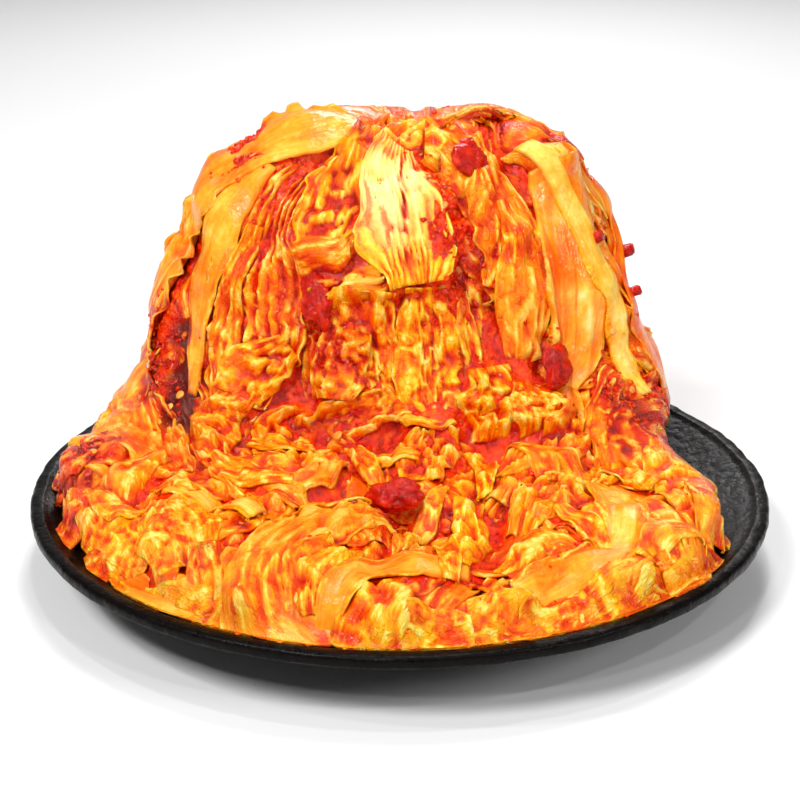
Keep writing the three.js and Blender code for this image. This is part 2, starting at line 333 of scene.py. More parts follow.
def pool_sauce_and_paint_shade():
    """Sauce gathers where a leaf lies lower than what is around it, and runs off where it stands proud. Where it lies
    lower the leaf is also painted darker and redder, as painted contact shade; where it stands proud it is painted
    paler, as painted highlight.
    """
    around = blur2(H, 3.6, 3.6)
    for group, k, p, height in PLACES:
        val = LEAVES[group][k][1]
        gap = np.pad(at(around, p) - height, 2, mode="edge")
        rho = np.pad(np.hypot(p[..., 0], p[..., 1]), 2, mode="edge")
        deep, high = smooth(0.3, 3.2, gap) * smooth(0.985, 0.93, rho), smooth(0.0, 2.4, -gap)
        val[..., 2] = np.clip(np.maximum(val[..., 2] * (1 - 0.5 * high), 0.95 * deep * (1 - 0.25 * val[..., 1])), 0, 1)
        # painted shade in the recesses, painted highlight where the leaf stands proud
        val[..., 0] = np.clip(val[..., 0] - 0.16 * deep + 0.12 * high, 0, 1)


def curve(points, n):
    """A smooth curve through points, n places along it."""
    p = np.array(points, float)
    p = np.vstack([2 * p[0] - p[1], p, 2 * p[-1] - p[-2]])
    u = np.linspace(0, len(p) - 3 - 1e-6, n)
    i = u.astype(int)
    t = (u - i)[:, None]
    a, b, c, d = p[i], p[i + 1], p[i + 2], p[i + 3]
    return 0.5 * (2 * b + (c - a) * t + (2 * a - 5 * b + 4 * c - d) * t**2 + (3 * b - a - 3 * c + d) * t**3)


def along(values, u):
    """Smooth curve of values spaced evenly over 0..1, at u."""
    v = curve(np.array(values, float)[:, None], 200)[:, 0]
    return np.interp(u, np.linspace(0, 1, 200), v)


def ridge(phase, sharp):
    """Ridges at whole numbers of phase, 0 to 1."""
    f = phase - np.round(phase)
    return np.exp(-0.5 * (f / sharp) ** 2)


def leaf(group, spine, width, seed=0, res=1.3, left=1.0, right=1.0, stalk=None, lat=None, fan=None, net=None,
         blister=None, ruffle=None, pleat=None, ribs=None, folds=None, dome=0.0, cup=(0.0, 0.0), curl=(None, None), tip=0.0, root=0.0,
         thick=1.2, sauce=0.0, tint=0.5, rag=0.16, lift=0.5, crumple=1.0, follow=4.5, top=None, pale=0.0, shift=0.0, glow=False):
    """One leaf laid on the heap, from its stalk to its tip.
    spine is a list of (azimuth, t); width the half widths in mm along it. stalk = (half width at the root, at its end,
    height, share of the length). lat = (spacing, slant, height) of side veins; fan = (count, height) of ribs that
    spread with the leaf; net and blister = (cell, height); ruffle = (wavelength, height, start) along the edges;
    pleat = (count, height) of lengthwise folds; cup lifts and curl = (start, radius) rolls the left and right edges."""
    S0 = seed * 31 + 7
    q = curve([disc(a, t) for a, t in spine], 160)
    xyz = at(S, q)
    seg = np.r_[0, np.cumsum(np.linalg.norm(np.diff(xyz, axis=0), axis=1))]
    L = seg[-1]
    ns = max(8, int(L / res) + 1)
    ss = np.linspace(0, L, ns)
    p0 = np.stack([np.interp(ss, seg, q[:, k]) for k in (0, 1)], -1)
    c = at(S, p0)
    T = np.gradient(c, axis=0)
    T /= np.linalg.norm(T, axis=-1, keepdims=True)
    n0 = at(SN, p0)
    B = np.cross(n0, T)
    B /= np.linalg.norm(B, axis=-1, keepdims=True)
    us = ss / L
    hw = np.maximum(along(width, us), 1.2)
    lobes = lambda k: 1 + rag * vnoise(ss / 11, 3.1 + k, 0, S0 + k) + 0.4 * rag * vnoise(ss / 4, 1.7 + k, 0, S0 + 1 + k) - 1.6 * rag * np.maximum(0, vnoise(ss / 6, 9.7 + k, 0, S0 + 2 + k) - 0.3)
    hl = hw * left * lobes(0)
    hr = hw * right * lobes(5)
    wmax = max(hl.max(), hr.max())
    nw = max(9, int((hl.max() + hr.max()) / res) + 1)
    u = np.linspace(-1, 1, nw)[None, :]
    s = np.repeat(ss[:, None], nw, 1)
    us2 = s / L
    h2 = np.where(u < 0, hl[:, None], hr[:, None])
    x = u * h2  # unfolded distance from the spine
    # the walking table: places on the skin at steps to either side of the spine
    d = res * 1.4
    K = int(wmax * 1.1 / d) + 3
    tab = np.zeros((ns, 2 * K + 1, 2))
    tab[:, K] = p0
    for sign in (-1, 1):
        p, vdir = p0.copy(), B * sign
        for k in range(1, K + 1):
            p, vdir = step(p, vdir, d)
            rr = np.hypot(p[:, 0], p[:, 1])
            far = rr > EDGE
            p[far] *= (EDGE / rr[far])[:, None]
            tab[:, K + sign * k] = p
    # ---- relief
    wob = vnoise(s / 14, x / 14, 0, S0 + 4)
    wob2 = vnoise(s / 5, x / 5, 0, S0 + 5)
    Z = np.zeros_like(s)
    F = np.zeros_like(s)  # the fine part of the relief
    G = np.zeros_like(s)  # folds
    kst = np.zeros_like(s)
    ax = np.abs(x - shift * h2)
    # across the leaf for what spreads with it: as wide as x where the leaf is widest
    xf = u * (0.35 * h2 + 0.65 * wmax)
    if stalk:
        w0, w1, hs, fr = stalk
        e = np.clip(us2 / fr, 0, 1)
        ws = w0 + (w1 - w0) * e**0.8
        fade = 1 - smooth(0.8, 1.08, us2 / fr)
        kst = smooth(1.12, 0.82, ax / ws) * fade
        Z += hs * (1 - 0.65 * e) * np.sqrt(np.maximum(0, 1 - (ax / (ws * 1.12)) ** 2)) * fade
        F += (0.3 * fbm(s / 26, x / 1.6, 0, S0 + 20, 2) + 0.3 * fbm(s / 40, x / 4.0, 0, S0 + 41, 2)) * kst
        side = np.maximum(ax - ws, 0)
    else:
        side = ax
    open_ = 1 - kst
    if lat:
        sp, slant, hv = lat
        ph = (s - side * slant) / sp + 0.3 * wob + 0.12 * wob2
        r1 = ridge(ph, 0.15)
        r2 = ridge(ph * 2 + 0.5 + 0.3 * wob, 0.18) * smooth(0.3, 0.7, np.abs(u))
        F += hv * open_ * (r1 * (1 - 0.45 * np.abs(u)) + 0.5 * r2) * (0.65 + 0.5 * wob)
    if fan:
        nf, hf = fan
        ph = u * nf / 2 + 0.3 * wob + 0.12 * wob2
        r1 = ridge(ph, 0.17)
        r2 = ridge(ph * 2 + 0.5, 0.2) * smooth(0.35, 0.75, us2)
        F += hf * open_ * (r1 * (1 - 0.3 * us2) + 0.55 * r2) * (0.7 + 0.5 * vnoise(s / 9, x / 9, 0, S0 + 21))
    if pleat:
        npl, hp = pleat
        ph = u * npl / 2 + 0.5 * vnoise(s / 26, x / 26, 0, S0 + 6) + 0.12 * wob
        wv = (0.5 + 0.5 * np.cos(2 * np.pi * ph)) ** 0.8
        G += hp * open_ * wv * (0.7 + 0.45 * wob)
    if ribs:  # thin raised ribs that flow along the leaf and branch
        lam, hr_, st = ribs
        a_ = fbm((s + 2.5 * wob2) / (lam * st), (xf + 3.2 * wob) / lam, 0, S0 + 22, 2)
        b_ = fbm((s - 2.5 * wob2) / (lam * st * 0.7), (xf - 2.0 * wob) / lam * 1.7, 0, S0 + 23, 2)
        F += hr_ * open_ * (np.exp(-((a_ / 0.10) ** 2)) + 0.6 * np.exp(-((b_ / 0.10) ** 2)) * smooth(-0.3, 0.4, wob))
    if folds:  # rounded folds with creases between them
        lam, hf_, st = folds
        for k_, (q_, g_) in enumerate(((0.92, 0.78), (0.44, 0.72))):
            wx = vnoise(s / (lam * 2.2 * q_), x / (lam * 2.2 * q_), 0, S0 + 24 + k_) * lam * q_
            wy = vnoise(s / (lam * 2.2 * q_), x / (lam * 2.2 * q_), 5.5, S0 + 26 + k_) * lam * q_
            a_ = vnoise((s + wy) / (lam * st * q_), (xf + wx) / (lam * q_), 0, S0 + 28 + k_)
            G += g_ * hf_ * open_ * (np.abs(a_) * 1.9) ** 0.8 * (0.75 + 0.35 * wob)
    if net:
        cell, hn = net
        f1, f2 = worley((s + 1.6 * wob2) / cell, (x + 1.6 * wob) / cell, S0 + 8)
        F += hn * open_ * np.exp(-((f2 - f1) / 0.16) ** 2)
    if blister:
        cell, hb = blister
        f1, f2 = worley((s + 2.2 * wob2) / cell, (x + 2.2 * wob) / cell * 1.15, S0 + 9)
        big = 1 - np.clip(f1 / 0.78, 0, 1) ** 2
        f1, f2 = worley((s - 1.2 * wob) / (cell * 0.45), (x + 1.2 * wob2) / (cell * 0.45), S0 + 10)
        small = 1 - np.clip(f1 / 0.8, 0, 1) ** 2
        F += hb * open_ * (0.7 * big + 0.3 * small) * (0.7 + 0.5 * wob)
    if crumple:
        F += crumple * open_ * 0.4 * fbm(s / 5.5, x / 5.5, 0, S0 + 11, 3)
        Z += crumple * (0.35 + 0.65 * open_) * 1.6 * fbm(s / 19, x / 19, 0, S0 + 12, 2)
    Z += F + G
    Z *= (1 - 0.7 * np.abs(u) ** 5) * (1 - 0.6 * smooth(0.88, 1.0, us2)) * (1 - 0.6 * smooth(0.1, 0.0, us2))
    X = x.copy()
    if ruffle:
        lam, ar, st = ruffle
        e = smooth(st, 1.0, np.abs(u)) ** 1.3 * open_
        sgn = np.sign(u)
        ph = 2 * np.pi * (s / lam + 0.7 * vnoise(s / (lam * 1.1), sgn * 3, 0, S0 + 13))
        wv = np.sin(ph) + 0.35 * np.sin(2.1 * ph + 1.3 + sgn)
        Z += ar * e * (0.7 * wv + 0.7)
        X += -sgn * ar * 0.45 * e * (0.5 + 0.5 * np.sin(ph + 0.9))
        et = smooth(L - 1.4 * lam, L, s) * open_
        ph = 2 * np.pi * (x / lam + 0.5 * vnoise(x / lam, 2.2, 0, S0 + 14))
        Z += ar * et * (0.5 * np.sin(ph) + 0.5)
    if dome:
        Z += dome * (1 - np.abs(u) ** 2.2) * np.sqrt(np.sin(np.pi * np.clip(us2 * 0.94 + 0.05, 0, 1)))
    for side_, (amt, cl) in enumerate(zip(cup, curl)):
        m = (u < 0) if side_ == 0 else (u > 0)
        if amt:
            Z += np.where(m, amt * np.abs(u) ** 2.2, 0)
        if cl:
            start, rad = cl[:2]
            begin = start * h2 * (1 + 0.15 * wob)
            over = np.maximum(np.abs(X) - begin, 0) * m
            if len(cl) > 2:  # the curl fades in along the leaf
                over = over * smooth(cl[2] - 0.15, cl[2] + 0.15, us2)
            ang = np.minimum(over / rad, 1.35 * np.pi)
            sg = -1 if side_ == 0 else 1
            X = np.where(over > 0, sg * (np.abs(X) - over + rad * np.sin(ang)), X)
            Z = np.where(over > 0, Z * np.cos(np.minimum(ang, np.pi)) + rad * (1 - np.cos(ang)), Z)
    if tip:
        Z += tip * smooth(0.72, 1.0, us2) ** 1.5
    if root:
        Z += root * smooth(0.28, 0.0, us2) ** 1.5
    # ---- onto the skin, over what lies there
    g = np.clip(X / d + K, 0, 2 * K - 0.001)
    g0 = g.astype(int)
    fg = (g - g0)[..., None]
    rows = np.arange(ns)[:, None]
    p = tab[rows, g0] * (1 - fg) + tab[rows, g0 + 1] * fg
    under = at(H, p)
    sg = follow / res
    soft = blur2(under, sg, sg)
    base = np.maximum(soft, under - 1.2) + lift
    base = blur2(base, 1.0, 1.0)
    cap = at(reach, p) - 3.2 + (0.0 if top is None else top)
    base = np.where(base > cap, cap + (base - cap) * 0.2, base)
    Z -= min(0.0, np.percentile(Z, 2))
    k_ = 2 if stalk or glow else 1  # smooth leaves lie over the bumps under them, crumpled ones follow them
    env = H
    for ax_ in (0, 1):
        env = np.maximum.reduce([np.roll(env, j_, ax_) for j_ in range(-k_, k_ + 1)])
    env = at(env, p)
    sg = (2.2 if k_ == 2 else 0.8) / res
    env = blur2(env, sg, sg) * smooth(0.0, 1.0, env) + 0.3
    height = np.maximum(base + Z, env)
    height = np.minimum(height, at(reach, p) + 7.0)
    wav_ = vnoise(p[..., 0] * 15, p[..., 1] * 15, 0, 77)
    rim_ = smooth(0.95 + 0.035 * wav_, 1.01, np.hypot(p[..., 0], p[..., 1])) ** 1.2
    height = height * (1 - rim_) - 1.5 * rim_
    nrm = at(SN, p)
    pos = at(S, p) + nrm * height[..., None]
    pos[..., 2] = np.maximum(pos[..., 2], dish_inside(np.hypot(pos[..., 0], pos[..., 1])) + 0.7)
    # remember how high this leaf stands
    ci = np.clip(np.round((p[..., 0] + LIM) / (2 * LIM) * (MCELLS - 1)).astype(int), 1, MCELLS - 2)
    cj = np.clip(np.round((p[..., 1] + LIM) / (2 * LIM) * (MCELLS - 1)).astype(int), 1, MCELLS - 2)
    for di in (0, 1):
        for dj in (0, 1):
            np.maximum.at(H, (ci + di, cj + dj), height)
    # ---- shading values
    Fb = F - blur2(F, 3.0 / res, 3.0 / res)
    Gb = G - blur2(G, 6.0 / res, 6.0 / res)
    # painted shade and painted highlight: this value is low in the leaf's creases and high on its ridges, and the
    # material paints the creases darker red-orange and the ridges pale cream
    relief_shade = 0.5 + Fb / (2.6 * max(0.3, Fb.std() * 1.5)) + Gb / (3.0 * max(0.6, Gb.std() * 1.6))
    # painted highlight: the leaf's edges are made paler
    e = smooth(0.86, 1.0, np.abs(u)) * open_
    relief_shade = np.clip(relief_shade + 0.14 * e, 0, 1)
    qz, n3, m3 = sauce_at(pos)
    qq = qz * (1 - 0.45 * smooth(0.55, 0.95, relief_shade)) + (0.12 + 0.9 * sauce) * smooth(0.62, 0.12, relief_shade + 0.12 * m3) * (0.75 + 0.7 * n3)
    qq = qq + 0.5 * smooth(0.35, 0.75, 0.6 * n3 + 0.5 * m3 + 0.9 * (sauce - 0.3))
    qq = qq + 0.45 * kst * smooth(0.1, 0.6, m3 + 0.5 * n3) * smooth(0.2, 0.9, np.abs(u))
    qq = np.clip(qq * (1 - 0.6 * kst), 0, 1)
    tt = np.clip(tint + 0.14 * wob + 0.12 * n3, 0, 1)
    pp = np.clip(kst + pale * smooth(-0.5, 0.6, wob + 0.4), 0, 1)
    if glow:  # near-white patches
        for (_, _, r_, w_), c_ in zip(LIGHT, LP):
            g_ = w_ * np.exp(-(((pos - c_) ** 2).sum(-1)) / (2 * (0.6 * r_) ** 2)) * (0.85 + 0.3 * vnoise(s / 6, x / 1.6, 0, S0 + 40))
            pp, tt, qq = np.clip(pp + g_, 0, 1), np.clip(tt - 0.7 * g_, 0, 1), qq * np.clip(1 - g_, 0, 1)
        qq = qq * 0.5
    val = np.stack([relief_shade, pp, qq, tt, s, xf, np.full_like(s, (seed * 7.31) % 97)], -1)
    # ---- lips: the edge turns under, as thick as the leaf
    th = thick + (stalk[2] * 0.55 * kst[:, :] if stalk else 0) + 0 * s
    def lips(pos, nrm, val, th, axis):
        if axis == 0:
            pos, nrm, val = (np.swapaxes(v, 0, 1) for v in (pos, nrm, val))
            th = th.T
        def side_of(k, inner):
            out = pos[:, k] - pos[:, inner]
            out = out / np.maximum(np.linalg.norm(out, axis=-1, keepdims=True), 1e-6)
            t = th[:, k][:, None]
            a = pos[:, k] + out * 0.45 * t * 0.5 - nrm[:, k] * 0.45 * t
            b = pos[:, k] - out * 0.9 - nrm[:, k] * t
            return a[:, None], b[:, None]
        a0, b0 = side_of(0, 1)
        a1, b1 = side_of(-1, -2)
        pos = np.concatenate([b0, a0, pos, a1, b1], 1)
        rep = lambda v: np.concatenate([v[:, :1], v[:, :1], v, v[:, -1:], v[:, -1:]], 1)
        nrm, val = rep(nrm), rep(val)
        th = rep(th)
        if axis == 0:
            pos, nrm, val = (np.swapaxes(v, 0, 1) for v in (pos, nrm, val))
            th = th.T
        return pos, nrm, val, th
    pos, nrm, val, th = lips(pos, nrm, val, th, 1)
    pos, nrm, val, th = lips(pos, nrm, val, th, 0)
    LEAVES.setdefault(group, []).append((pos, val, nrm, (L, hl.max() + hr.max())))
    PLACES.append((group, len(LEAVES[group]) - 1, p, height))
    return L


FLOOR_R, FLOOR_Z, LIP_R = 58.0, 5.0, R - 5.2  # as the dish's profile has them


def dish_inside(r):
    sN = np.clip((r - FLOOR_R) / (LIP_R - FLOOR_R), 0, 1)
    return FLOOR_Z + (RIM - 1.0 - FLOOR_Z) * sN**1.22


def build_group(name, grids, material):
    """Joins grids into one mesh object with its shading values and a map laid out leaf by leaf."""
    verts, faces, vals, uvs = [], [], [], []
    base = 0
    # shelves: each leaf gets a rectangle of its own size
    order = sorted(range(len(grids)), key=lambda k: -grids[k][3][1])
    total = sum((g[3][0] + 6) * (g[3][1] + 6) for g in grids)
    W = math.sqrt(total) * 1.04 + 20
    W = max(W, max(g[3][0] + 6 for g in grids))
    place, x0, y0, hrow = {}, 0.0, 0.0, 0.0
    for k in order:
        w, h = grids[k][3][0] + 6, grids[k][3][1] + 6
        if x0 + w > W:
            x0, y0, hrow = 0.0, y0 + hrow, 0.0
        place[k] = (x0, y0)
        x0 += w
        hrow = max(hrow, h)
    side = max(W, y0 + hrow)
    for k, (pos, val, nrm, (lx, ly)) in enumerate(grids):
        a, b = pos.shape[:2]
        idx = np.arange(a * b).reshape(a, b) + base
        f = np.stack([idx[:-1, :-1], idx[1:, :-1], idx[1:, 1:], idx[:-1, 1:]], -1).reshape(-1, 4)
        i, j = a // 2, b // 2
        m = np.cross(pos[i + 1, j] - pos[i, j], pos[i, j + 1] - pos[i, j])
        if (m * nrm[i, j]).sum() < 0:
            f = f[:, ::-1]
        verts.append(pos.reshape(-1, 3))
        faces.append(f)
        vals.append(val.reshape(-1, val.shape[-1]))
        px, py = place[k]
        uu, vv = np.meshgrid(np.linspace(px + 2, px + lx + 4, a), np.linspace(py + 2, py + ly + 4, b), indexing="ij")
        uvs.append(np.stack([uu, vv], -1).reshape(-1, 2) / side)
        base += a * b
    v = np.concatenate(verts) / 1000
    f = np.concatenate(faces)
    c = np.concatenate(vals)
    uv = np.concatenate(uvs)
    me = bpy.data.meshes.new(name)
    me.vertices.add(len(v))
    me.vertices.foreach_set("co", v.ravel())
    me.loops.add(len(f) * 4)
    me.loops.foreach_set("vertex_index", f.ravel())
    me.polygons.add(len(f))
    me.polygons.foreach_set("loop_start", np.arange(0, len(f) * 4, 4))
    me.polygons.foreach_set("loop_total", np.full(len(f), 4))
    me.polygons.foreach_set("use_smooth", np.ones(len(f), bool))
    at_ = me.attributes.new("kim", "FLOAT_COLOR", "POINT")
    at_.data.foreach_set("color", c[:, :4].astype(np.float32).ravel())
    lay_ = me.attributes.new("lay", "FLOAT_VECTOR", "POINT")
    lay_.data.foreach_set("vector", c[:, 4:7].astype(np.float32).ravel())
    lay = me.uv_layers.new(name="OFBake")
    lay.data.foreach_set("uv", uv[f.ravel()].astype(np.float32).ravel())
    me.update()
    me.validate()
    ob = bpy.data.objects.new(name, me)
    bpy.context.scene.collection.objects.link(ob)
    me.materials.append(material)
    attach(ob, "root")
    return ob


# ------------------------------------------------------------------ materials
def lin(r, g, b):
    return tuple((c / 255) / 12.92 if c / 255 <= 0.04045 else ((c / 255 + 0.055) / 1.055) ** 2.4 for c in (r, g, b)) + (1.0,)


class Nodes:
    """A short way to write a node tree."""

    def __init__(self, name):
        self.mat = bpy.data.materials.new(name)
        self.mat.use_nodes = True
        self.t = self.mat.node_tree
        self.t.nodes.clear()
        self.out = self.t.nodes.new("ShaderNodeOutputMaterial")
        self.coord = self.t.nodes.new("ShaderNodeTexCoord").outputs["Object"]

    def put(self, socket, value):
        if isinstance(value, bpy.types.NodeSocket):
            self.t.links.new(value, socket)
        else:
            socket.default_value = value

    def node(self, kind, **sockets):
        n = self.t.nodes.new(kind)
        for k, v in sockets.items():
            if k.startswith("_"):
                setattr(n, k[1:], v)
        for k, v in sockets.items():
            if not k.startswith("_"):
                self.put(n.inputs[k.replace("__", " ")], v)
        return n

    def noise(self, scale, detail=4.0, rough=0.55, coord=None, warp=0.0):
        n = self.node("ShaderNodeTexNoise", Scale=scale, Detail=detail, Roughness=rough, Distortion=warp)
        self.put(n.inputs["Vector"], coord or self.coord)
        return n.outputs["Fac"]

    def voronoi(self, scale, feature="F1", coord=None, out="Distance", rand=1.0):
        n = self.node("ShaderNodeTexVoronoi", _feature=feature, Scale=scale, Randomness=rand)
        self.put(n.inputs["Vector"], coord or self.coord)
        return n.outputs[out]

    def math(self, op, a, b=None, c=None, clamp=False):
        n = self.t.nodes.new("ShaderNodeMath")
        n.operation = op
        n.use_clamp = clamp
        for k, v in enumerate((a, b, c)):
            if v is not None:
                self.put(n.inputs[k], v)
        return n.outputs[0]

    def fit(self, v, a, b, lo=0.0, hi=1.0, smooth=True):
        n = self.t.nodes.new("ShaderNodeMapRange")
        n.interpolation_type = "SMOOTHSTEP" if smooth else "LINEAR"
        n.clamp = True
        for k, x in zip(("Value", "From Min", "From Max", "To Min", "To Max"), (v, a, b, lo, hi)):
            self.put(n.inputs[k], x)
        return n.outputs[0]

    def mix(self, f, a, b, mode="MIX"):
        n = self.t.nodes.new("ShaderNodeMix")
        n.data_type = "RGBA"
        n.blend_type = mode
        self.put(n.inputs[0], f)
        self.put(n.inputs[6], a)
        self.put(n.inputs[7], b)
        return n.outputs[2]

    def ramp(self, f, *stops):
        n = self.t.nodes.new("ShaderNodeValToRGB")
        e = n.color_ramp.elements
        while len(e) < len(stops):
            e.new(0.5)
        for k, (p, c) in enumerate(stops):
            e[k].position = p
            e[k].color = c
        self.put(n.inputs[0], f)
        return n.outputs["Color"]

    def bump(self, height, strength=0.5, distance=0.0005, normal=None):
        n = self.node("ShaderNodeBump", Strength=strength, Distance=distance)
        self.put(n.inputs["Height"], height)
        if normal is not None:
            self.put(n.inputs["Normal"], normal)
        return n.outputs["Normal"]

    def finish(self, **bsdf):
        b = self.node("ShaderNodeBsdfPrincipled", **bsdf)
        self.t.links.new(b.outputs["BSDF"], self.out.inputs["Surface"])
        return self.mat


def kimchi_material(name, core=False):
    m = Nodes(name)
    a = m.t.nodes.new("ShaderNodeAttribute")
    a.attribute_name = "kim"
    sep = m.node("ShaderNodeSeparateColor", Color=a.outputs["Color"])
    relief_shade, pale, sauce, tint = sep.outputs[0], sep.outputs[1], sep.outputs[2], a.outputs["Alpha"]
    lay = m.t.nodes.new("ShaderNodeAttribute")
    lay.attribute_name = "lay"
    sx = m.node("ShaderNodeSeparateXYZ", Vector=lay.outputs["Vector"])
    # fibres run along the leaf
    fv = m.node("ShaderNodeCombineXYZ", X=m.math("MULTIPLY", sx.outputs[0], 0.075), Y=m.math("MULTIPLY", sx.outputs[1], 0.85), Z=sx.outputs[2]).outputs[0]
    fib = m.noise(1.0, 2, 0.6, coord=fv, warp=0.4)
    n1 = m.noise(85, 3, 0.6)
    n2 = m.noise(420, 2, 0.6)
    n3 = m.noise(1500, 1, 0.6)
    half = lambda v, k: m.math("MULTIPLY", m.math("SUBTRACT", v, 0.5), k)
    # a net of fine veins
    vv = m.node("ShaderNodeCombineXYZ", X=m.math("ADD", m.math("MULTIPLY", sx.outputs[0], 0.22), half(n2, 1.5)), Y=m.math("ADD", m.math("MULTIPLY", sx.outputs[1], 0.4), half(fib, 1.8)), Z=sx.outputs[2]).outputs[0]
    v2 = m.node("ShaderNodeCombineXYZ", X=m.math("ADD", m.math("MULTIPLY", sx.outputs[0], 0.5), half(n2, 2.6)), Y=m.math("ADD", m.math("MULTIPLY", sx.outputs[1], 0.85), half(fib, 2.2)), Z=sx.outputs[2]).outputs[0]
    edge = m.voronoi(1.0, "DISTANCE_TO_EDGE", coord=vv)
    vein = m.fit(edge, 0.11, 0.0)
    puff = m.fit(edge, 0.0, 0.34)
    small = m.fit(m.voronoi(1.0, "DISTANCE_TO_EDGE", coord=v2), 0.0, 0.3)
    puff_bumps_and_shade = m.math("MULTIPLY", m.math("ADD", m.math("MULTIPLY", puff, 0.62), m.math("MULTIPLY", small, 0.38)), m.math("SUBTRACT", 1.0, pale))
    tv = m.math("ADD", tint, half(n1, 0.4))
    # painted shade and painted highlight: the crease-and-ridge value sets where on the ramps below the colour lies
    shade_tone = m.math("ADD", m.math("ADD", m.math("MULTIPLY_ADD", relief_shade, 0.9, 0.085), half(fib, 0.28)), half(n2, 0.3))
    # painted shade: the puffs paint the vein grooves darker and the domes between them paler, following their bumps
    shade_tone = m.math("ADD", shade_tone, m.math("MULTIPLY_ADD", puff_bumps_and_shade, 0.36, -0.19))
    shade_tone = m.math("ADD", shade_tone, m.math("MULTIPLY", pale, 0.24))
    # the leaf's colour runs from red-orange in the creases to pale cream on the ridges, painted shade and painted
    # highlight over its own yellow or orange tint
    yellow = m.ramp(shade_tone, (0.0, lin(236, 62, 0)), (0.24, lin(250, 116, 0)), (0.5, lin(254, 170, 2)), (0.76, lin(255, 208, 34)), (1.0, lin(255, 238, 126)))
    orange = m.ramp(shade_tone, (0.0, lin(190, 12, 0)), (0.24, lin(230, 44, 0)), (0.5, lin(246, 84, 0)), (0.76, lin(252, 130, 8)), (1.0, lin(255, 196, 78)))
    col = m.mix(m.fit(tv, 0.02, 0.98, 0, 1, smooth=False), yellow, orange)
    # pale stalk, stained orange in patches, and painted orange in its creases as painted shade
    stalkc = m.ramp(m.math("ADD", m.math("ADD", m.math("ADD", tint, half(n1, 0.9)), half(n2, 0.3)), half(fib, -0.35)), (0.0, lin(255, 246, 172)), (0.2, lin(252, 216, 104)), (0.42, lin(250, 174, 50)), (0.68, lin(243, 130, 18)), (0.95, lin(230, 72, 0)))
    stalkc = m.mix(m.fit(shade_tone, 0.1, 0.42, 0.6, 0.0), stalkc, lin(232, 92, 2))
    col = m.mix(m.math("MULTIPLY", pale, 0.92), col, stalkc)
    # red sauce: thin and orange-red between the folds, thick and dark where it has gathered; its darkest red in the
    # recesses and listed hollows is painted shade
    sv = m.math("ADD", sauce, m.math("ADD", half(n2, 0.22), half(n1, 0.25)))
    sc = m.ramp(sv, (0.2, lin(232, 78, 0)), (0.5, lin(218, 38, 0)), (0.75, lin(190, 14, 0)), (1.0, lin(120, 2, 0)))
    col = m.mix(m.fit(sv, 0.12, 0.72, 0, 0.93), col, sc)
    bumph = m.math("ADD", m.math("MULTIPLY", n2, 0.8), m.math("MULTIPLY", n3, 0.14))
    bumph = m.math("ADD", bumph, m.math("MULTIPLY", fib, m.math("MULTIPLY_ADD", pale, 0.25, 0.2)))
    bumph = m.math("ADD", bumph, m.math("MULTIPLY", puff_bumps_and_shade, 1.1))
    bumph = m.math("ADD", bumph, m.math("MULTIPLY", n3, m.fit(sv, 0.25, 0.7, 0.0, 0.5)))
    nrm = m.bump(bumph, 0.7, 0.0008)
    rough = m.math("SUBTRACT", m.fit(n1, 0.3, 0.7, 0.08, 0.16), m.fit(sv, 0.3, 0.7, 0.0, 0.03))
    return m.finish(Base__Color=col, Roughness=rough, Normal=nrm, **{"Subsurface Weight": 0.24, "Subsurface Radius": (0.005, 0.0018, 0.0004), "Subsurface Scale": 0.9,
                    "Specular IOR Level": m.fit(sv, 0.3, 0.75, 0.36, 0.5), "Specular Tint": (1.0, 0.86, 0.76, 1.0)})


def pepper_material(name):
    m = Nodes(name)
    n1, n2 = m.noise(220, 4), m.noise(800, 3)
    col = m.ramp(n1, (0.3, lin(140, 4, 0)), (0.5, lin(188, 12, 0)), (0.75, lin(222, 46, 8)))
    col = m.mix(m.fit(n2, 0.6, 0.75, 0, 0.5), col, lin(120, 2, 0))
    h = m.math("ADD", n1, m.math("MULTIPLY", n2, 0.6))
    return m.finish(Base__Color=col, Roughness=m.fit(n2, 0.3, 0.7, 0.07, 0.15), Normal=m.bump(h, 0.7, 0.0014), **{"Subsurface Weight": 0.2,
                    "Subsurface Radius": (0.004, 0.0004, 0.0002), "Subsurface Scale": 1.0, "Specular IOR Level": 0.4, "Specular Tint": (1.0, 0.8, 0.7, 1.0)})


